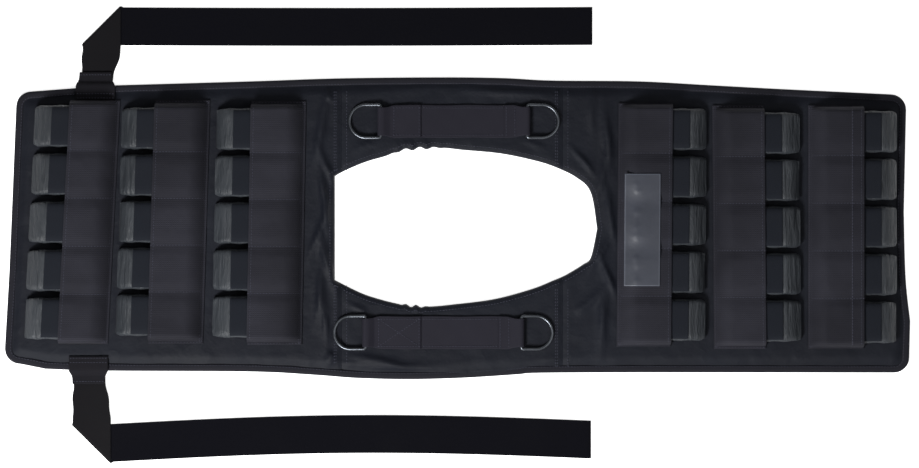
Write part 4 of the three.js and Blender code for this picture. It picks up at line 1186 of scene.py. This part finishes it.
# Shoulder webbing and D-rings
def webbing_path(left, right, fold):
    """Side view of the webbing: from its fold back over the left bar, under, and over the right."""
    low = BAND_BASE + WEBBING_WALL / 2 + 0.05
    second = low + WEBBING_WALL + 0.1
    over = BAR_HEIGHT + LOOP_MID - 0.4
    quarter = math.pi / 2
    left_loop = arc((left, BAR_HEIGHT), LOOP_MID, quarter, 3 * quarter, 14)
    right_loop = arc((right, BAR_HEIGHT), LOOP_MID, -quarter, quarter, 14)
    upper = [
        (fold, second), (mix(fold, left + 12, 0.5), second), (left + 12, second + 0.1),
        (left + 7, second + 1.6), (left + 3, over),
    ]
    lower = [(left + 4, low), (right - 4, low)]
    back = [
        (right - 3, over), (right - 7, second + 1.6), (right - 12, second + 0.1),
        (right - WEBBING_BACK, second),
    ]
    parts = [spline(upper, 30), left_loop, np.array(lower), right_loop, spline(back, 30)]
    return resample(np.concatenate(parts), 1.1)


def shoulder_webbing(name, side, left, right, fold):
    """One strip with its stitches and its two rings. Left and right are shares of the neck length,
    and fold is the share of the way from one to the other."""
    left, right = left * NECK_LENGTH, right * NECK_LENGTH
    fold = mix(left, right, fold)
    path = webbing_path(left, right, fold)
    lengths = run_along(path)
    shares = edged(0, 1, 0.012, 0.035, 22) - 0.5
    along, share = np.meshgrid(np.arange(len(path)), shares, indexing="ij")
    from_bar = np.minimum(path[:, 0] - left, right - path[:, 0])
    width = mix(LOOP_WIDTH, WEBBING_WIDTH, smooth(4, 16, from_bar))[:, None]
    x = path[along, 0]
    y = side * WEBBING_OFFSET + share * width + 0.25 * np.sin(x / 9.0 + side)
    z = path[along, 1] + 0.12 * ripple(x, y, 24, 41)
    coords = np.stack([share * width, np.broadcast_to(lengths[:, None], x.shape)], 2)
    middle = np.stack([x, y, z], 2)
    obj = thick_sheet(f"looped_webbing_{name}", middle, WEBBING_WALL, coords, WEBBING, 0.6)
    kept(obj, "webbing", f"shoulder_webbing_{name}")
    top = BAND_BASE + 2 * WEBBING_WALL + 0.35
    single = BAND_BASE + WEBBING_WALL + 0.3
    half = WEBBING_WIDTH / 2 - 3
    centre = side * WEBBING_OFFSET
    box_left, box_right = left + SEW_LEFT, fold - SEW_FOLD

    def sewn(start, end, height, count):
        return np.linspace((*start, height), (*end, height), count)

    rows = (centre - half, centre + half)
    lines = [sewn((fold, y_line), (right - 26, y_line), single, 12) for y_line in rows]
    lines += [sewn((box_left, y_line), (box_right, y_line), top, 8) for y_line in rows]
    for x_line, height in ((box_left, top), (box_right, top), (right - 22, top),
                           (right - 13, top + 0.15)):
        lines.append(sewn((x_line, rows[0]), (x_line, rows[1]), height, 8))
    if side < 0:
        for start, end in (rows[::-1], rows):
            lines.append(sewn((box_left, start), (box_right, end), top, 10))
    stitched(f"webbing_stitches_{name}", lines, *WEBBING_STITCH)
    for end_name, bar, turn in (("left", left, math.pi), ("right", right, 0.0)):
        ring(f"{name}_{end_name}", bar, centre, turn)


def ring(name, bar, centre, turn):
    """A D-ring with its bar in the loop, tilted down so that its bow lies on the padding."""
    half = RING_RADIUS - RING_CORNER
    quarter = math.pi / 2
    path = np.concatenate([
        arc((RING_CORNER, -half), RING_CORNER, math.pi, 3 * quarter, 7),
        arc((RING_LEG, 0), RING_RADIUS, -quarter, quarter, 40),
        arc((RING_CORNER, half), RING_CORNER, quarter, math.pi, 7),
    ])
    path = resample(np.concatenate([path, path[:1]]), 1.4)[:-1]
    x = path[:, 0] * math.cos(RING_TILT)
    z = -path[:, 0] * math.sin(RING_TILT) + BAR_HEIGHT
    ring_x = bar + x * math.cos(turn) - path[:, 1] * math.sin(turn)
    ring_y = centre + x * math.sin(turn) + path[:, 1] * math.cos(turn)
    points = np.stack([ring_x, ring_y, z], 1)
    obj = wire_loop(f"wire_ring_{name}", points, WIRE / 2, 18, METAL)
    kept(obj, "ring_metal", f"d_ring_{name}", body=f"ring_{name}")


shoulder_webbing("upper", 1, -0.325, 0.233, 0.276)
shoulder_webbing("lower", -1, -0.383, 0.21, 0.357)


# Waist straps: out from the tab, turned over at 45 degrees, then along the vest
def tab_middle(row):
    return LEFT_END + row["root"] * VEST_LENGTH + row["lean"] * STRAP_WIDTH


def root_edge(row):
    """How far out the vest's edge reaches under a strap's tab."""
    edge = np.array(UPPER_EDGE if row["side"] > 0 else LOWER_EDGE)
    half = TAB_WIDTH / 2 / VEST_LENGTH
    along = (tab_middle(row) - LEFT_END) / VEST_LENGTH
    return max(np.interp(along + s * half, edge[:, 0], edge[:, 1]) for s in (-1, 1)) * HALF_WIDTH


def waist_strap(row):
    """One strap, laid out station by station: up the riser, round the fold, then along the run."""
    root_x = LEFT_END + row["root"] * VEST_LENGTH
    edge_y = root_edge(row)
    run_y = edge_y + row["rise"] * STRAP_WIDTH
    root_y = edge_y + 0.6
    half = STRAP_WIDTH / 2
    turn_length = math.pi * STRAP_TURN
    low = STRAP_WALL / 2 + 0.1
    widths = edged(-half, half, 0.4, 1.5, 24)
    crease_y = run_y + widths
    stations, coords = [], []
    for t in np.linspace(0, 1, 40)[:-1] ** 0.8:
        y = mix(root_y, crease_y, t)
        share = np.clip((y - root_y) / (run_y - half - root_y), 0, 1)
        middle = mix(tab_middle(row), root_x, smooth(-0.2, 1.0, share))
        wave = 0.7 * np.sin((y - root_y) / 4.4 + widths / 12) * 4 * share * (1 - share)
        x = middle + wave + widths * mix(STRAP_NECK / STRAP_WIDTH, 1, smooth(0.1, 0.9, share))
        stations.append((x, y, (y - crease_y) / math.sqrt(2), 0))
        coords.append(np.stack([widths, y - root_y], 1))
    riser_rows = len(stations)
    run_length = STRAP_RUN * row["run"]
    reach = half + run_length - widths
    gone = [np.full_like(widths, e) for e in np.linspace(0, FOLD_ZONE, 14)]
    gone += [mix(FOLD_ZONE, reach, t) for t in np.linspace(0, 1, 170)[1:]]
    for e in gone:
        stations.append((root_x + widths, crease_y, e / math.sqrt(2), 1))
        coords.append(np.stack([widths, crease_y - root_y + e], 1))
    points = []
    for x, y, beyond, run in stations:
        angle = np.clip((beyond + turn_length / 2) / STRAP_TURN, 0, math.pi)
        bulge = np.where(beyond < -turn_length / 2, 0, STRAP_TURN * np.sin(angle)) / math.sqrt(2)
        ahead = np.maximum(0, beyond) * run
        past = beyond > turn_length / 2
        bx = x - bulge + ahead * np.where(past, math.sqrt(2), 1 / math.sqrt(2))
        by = y + bulge + ahead * np.where(past, 0, 1 / math.sqrt(2))
        z = low + STRAP_TURN * (1 + np.cos(angle))
        share = np.clip((bx - root_x - half) / run_length, 0, 1)
        by = by - STRAP_WIDTH * (row["bow"] * np.sin(math.pi * share) + row["drift"] * share)
        z = z + 0.25 * (1 + ripple(bx, by, 60, 51)) * smooth(0.01, 0.06, share)
        points.append(np.stack([bx, row["side"] * by, z], 1))
    name = f"folded_strap_{row['name']}"
    obj = thick_sheet(name, np.array(points), STRAP_WALL, np.array(coords), VELVET, 0.6)
    obj.data.materials.append(REVERSE)
    size = len(points) * len(widths)
    for face in obj.data.polygons:
        furthest = max((v % size) // len(widths) for v in face.vertices)
        if (furthest <= riser_rows + 2) == (face.normal.z > 0):
            face.material_index = 1
    kept(obj, "strap_loop", f"waist_strap_{row['name']}")


def strap_tab(row):
    """The short tab sewn over the panel's edge and the end of a strap, with its stitches."""
    middle_x = tab_middle(row)
    edge_y = root_edge(row)
    top = BAND_BASE + TAB_WALL / 2 + 0.1
    stations = [
        (edge_y - 15.5, TAB_WIDTH, top),
        (edge_y - 7.8, TAB_WIDTH, top),
        (edge_y - 0.3, TAB_WIDTH, top - 0.5),
        (edge_y + 3.9, mix(TAB_WIDTH, STRAP_NECK, 0.6), 5.2),
        (edge_y + 7.5, mix(TAB_WIDTH, STRAP_NECK, 0.9), 4.7),
        (edge_y + 13.8, STRAP_NECK, 4.6),
    ]
    line = resample(spline(stations, 60), 0.9)
    shares = edged(0, 1, 0.012, 0.035, 24) - 0.5
    index, share = np.meshgrid(np.arange(len(line)), shares, indexing="ij")
    x = middle_x + share * line[index, 1]
    y = row["side"] * line[index, 0]
    z = line[index, 2] + 0.15 * np.sin(share * 19 + 1) * smooth(0, 12, line[index, 0] - edge_y)
    coords = np.stack([share * line[index, 1], line[index, 0]], 2)
    middle = np.stack([x, y, z], 2)
    obj = thick_sheet(f"sewn_tab_{row['name']}", middle, TAB_WALL, coords, TAB, 0.6)
    kept(obj, "webbing", f"strap_tab_{row['name']}")
    lines = []
    for past_edge, wide, height in ((-13.5, TAB_WIDTH, top), (-9, TAB_WIDTH, top),
                                    (11, STRAP_NECK, 4.65)):
        x_line = middle_x + np.linspace(-1, 1, 8) * (wide / 2 - 2)
        y_line = np.full(8, row["side"] * (edge_y + past_edge))
        lines.append(np.c_[x_line, y_line, np.full(8, height + TAB_WALL / 2 + 0.1)])
    stitched(f"tab_stitches_{row['name']}", lines, *WEBBING_STITCH)


for row in STRAPS:
    waist_strap(row)
    strap_tab(row)


# Stitch lines on panels and bands
def on_pad(points):
    return np.c_[points, pad_surface(points[:, 0], points[:, 1]) + 0.1]


def seam_stitches():
    lines = []
    for x, limits in SEAM_LIMITS:
        for offset in SEAM_OFFSETS:
            for low, high in limits:
                lines.append(on_pad(np.linspace((x + offset, low), (x + offset, high), 40)))
    stitched("seam_stitches", lines, *CLOTH_STITCH)


def neck_stitches():
    """A row round the neck opening, left out where it would cross a seam."""
    closed = np.concatenate([NECK, NECK[:1]])
    rim = inset(NECK, -NECK_STITCH_OUT)
    rim = rim[distance_to(rim, closed) > 0.9 * NECK_STITCH_OUT]
    rim = rim[(np.abs(rim[:, 0] - LEFT_SEAM) > 3) & (np.abs(rim[:, 0] - RIGHT_SEAM) > 3)]
    gaps = np.flatnonzero(np.linalg.norm(np.diff(rim, axis=0), axis=1) > 8) + 1
    runs = [run for run in np.split(rim, gaps) if len(run) > 3]
    lines = []
    for run in runs:
        far = np.full(len(run), 30.0)
        height = pad_height(run[:, 0], run[:, 1], far, NECK_STITCH_OUT, far)
        lines.append(np.c_[run, height + 0.1])
    stitched("neck_stitches", lines, *CLOTH_STITCH)


def band_stitches(band):
    """Two rows along a band's foot, one at either end, one between pouches, one at its mouth."""
    width = BAND_WIDTH * band["width"]
    end = BAND_LENGTH / 2

    def row(start, finish, count, above):
        out, across = np.linspace(start, finish, count).T
        return band_top(band, out, across) + (0, 0, above)

    if band["name"] == HEM_BAND:
        # A thick pale row along the fold of the hem: partly its stitches, partly a painted highlight of
        # the folded edge
        fold = width - HEM_WIDTH + 0.5
        stitched("hem_stitches_and_highlight", [row((fold, 3 - end), (fold, end - 3), 150, 0.1)], *HEM_STITCH_AND_HIGHLIGHT)
    lines = [row((out, 3 - end), (out, end - 3), 120, 0.05) for out in (1.8, 3.8)]
    for across in (1.6 - end, end - 1.6):
        lines.append(row((3, across), (width - 2, across), 50, 0.05))
    for k in range(ROWS - 1):
        across = (k - 1.5) * POUCH_PITCH * band["spread"]
        lines.append(row((5, across), (width - 1, across), 60, 0.1))
    lines.append(row((width - 3.2, 6 - end), (width - 3.2, end - 6), 150, 0.1))
    stitched(f"band_stitches_{band['name']}", lines, *BAND_STITCH)


seam_stitches()
neck_stitches()
for band in BANDS:
    band_stitches(band)


# Floor, light and camera
def studio():
    """A pale floor that glows a little, two soft lights and a camera straight above."""
    bpy.ops.mesh.primitive_plane_add(size=12, location=(0, 0, -0.0002))
    floor = bpy.context.object
    floor.name = "pale_floor"
    material, tree, shader = blank_material("pale_paper")
    place = node(tree, "ShaderNodeTexCoord").outputs["Object"]
    tone = blended(tree, noise(tree, place, 3.0), (0.9, 0.9, 0.9, 1), (0.93, 0.93, 0.93, 1))
    plug(tree, tone, shader.inputs["Base Color"])
    shader.inputs["Roughness"].default_value = 0.9
    shader.inputs["Emission Color"].default_value = (1, 1, 1, 1)
    shader.inputs["Emission Strength"].default_value = FLOOR_GLOW
    floor.data.materials.append(material)
    world = bpy.data.worlds.new("studio")
    world.use_nodes = True
    background = world.node_tree.nodes["Background"]
    background.inputs["Color"].default_value = (1, 1, 1, 1)
    background.inputs["Strength"].default_value = WORLD_LIGHT
    scene.world = world
    for name, place, target, size, power in LIGHTS:
        light = bpy.data.lights.new(name, "AREA")
        light.size = size
        light.energy = power
        lamp = bpy.data.objects.new(name, light)
        lamp.location = place
        lamp.rotation_euler = (Vector(target) - Vector(place)).to_track_quat("-Z", "Y").to_euler()
        scene.collection.objects.link(lamp)
    camera = bpy.data.cameras.new("overhead_camera")
    camera.sensor_width = SENSOR
    camera.lens = SENSOR * (CAMERA_HEIGHT - SCALE_HEIGHT) / (IMAGE_WIDTH * PIXEL)
    camera.clip_end = 50
    holder = bpy.data.objects.new("overhead_camera", camera)
    holder.location = (VIEW_X * MM, VIEW_Y * MM, CAMERA_HEIGHT * MM)
    scene.collection.objects.link(holder)
    scene.camera = holder
    scene.view_settings.view_transform = "Standard"


studio()
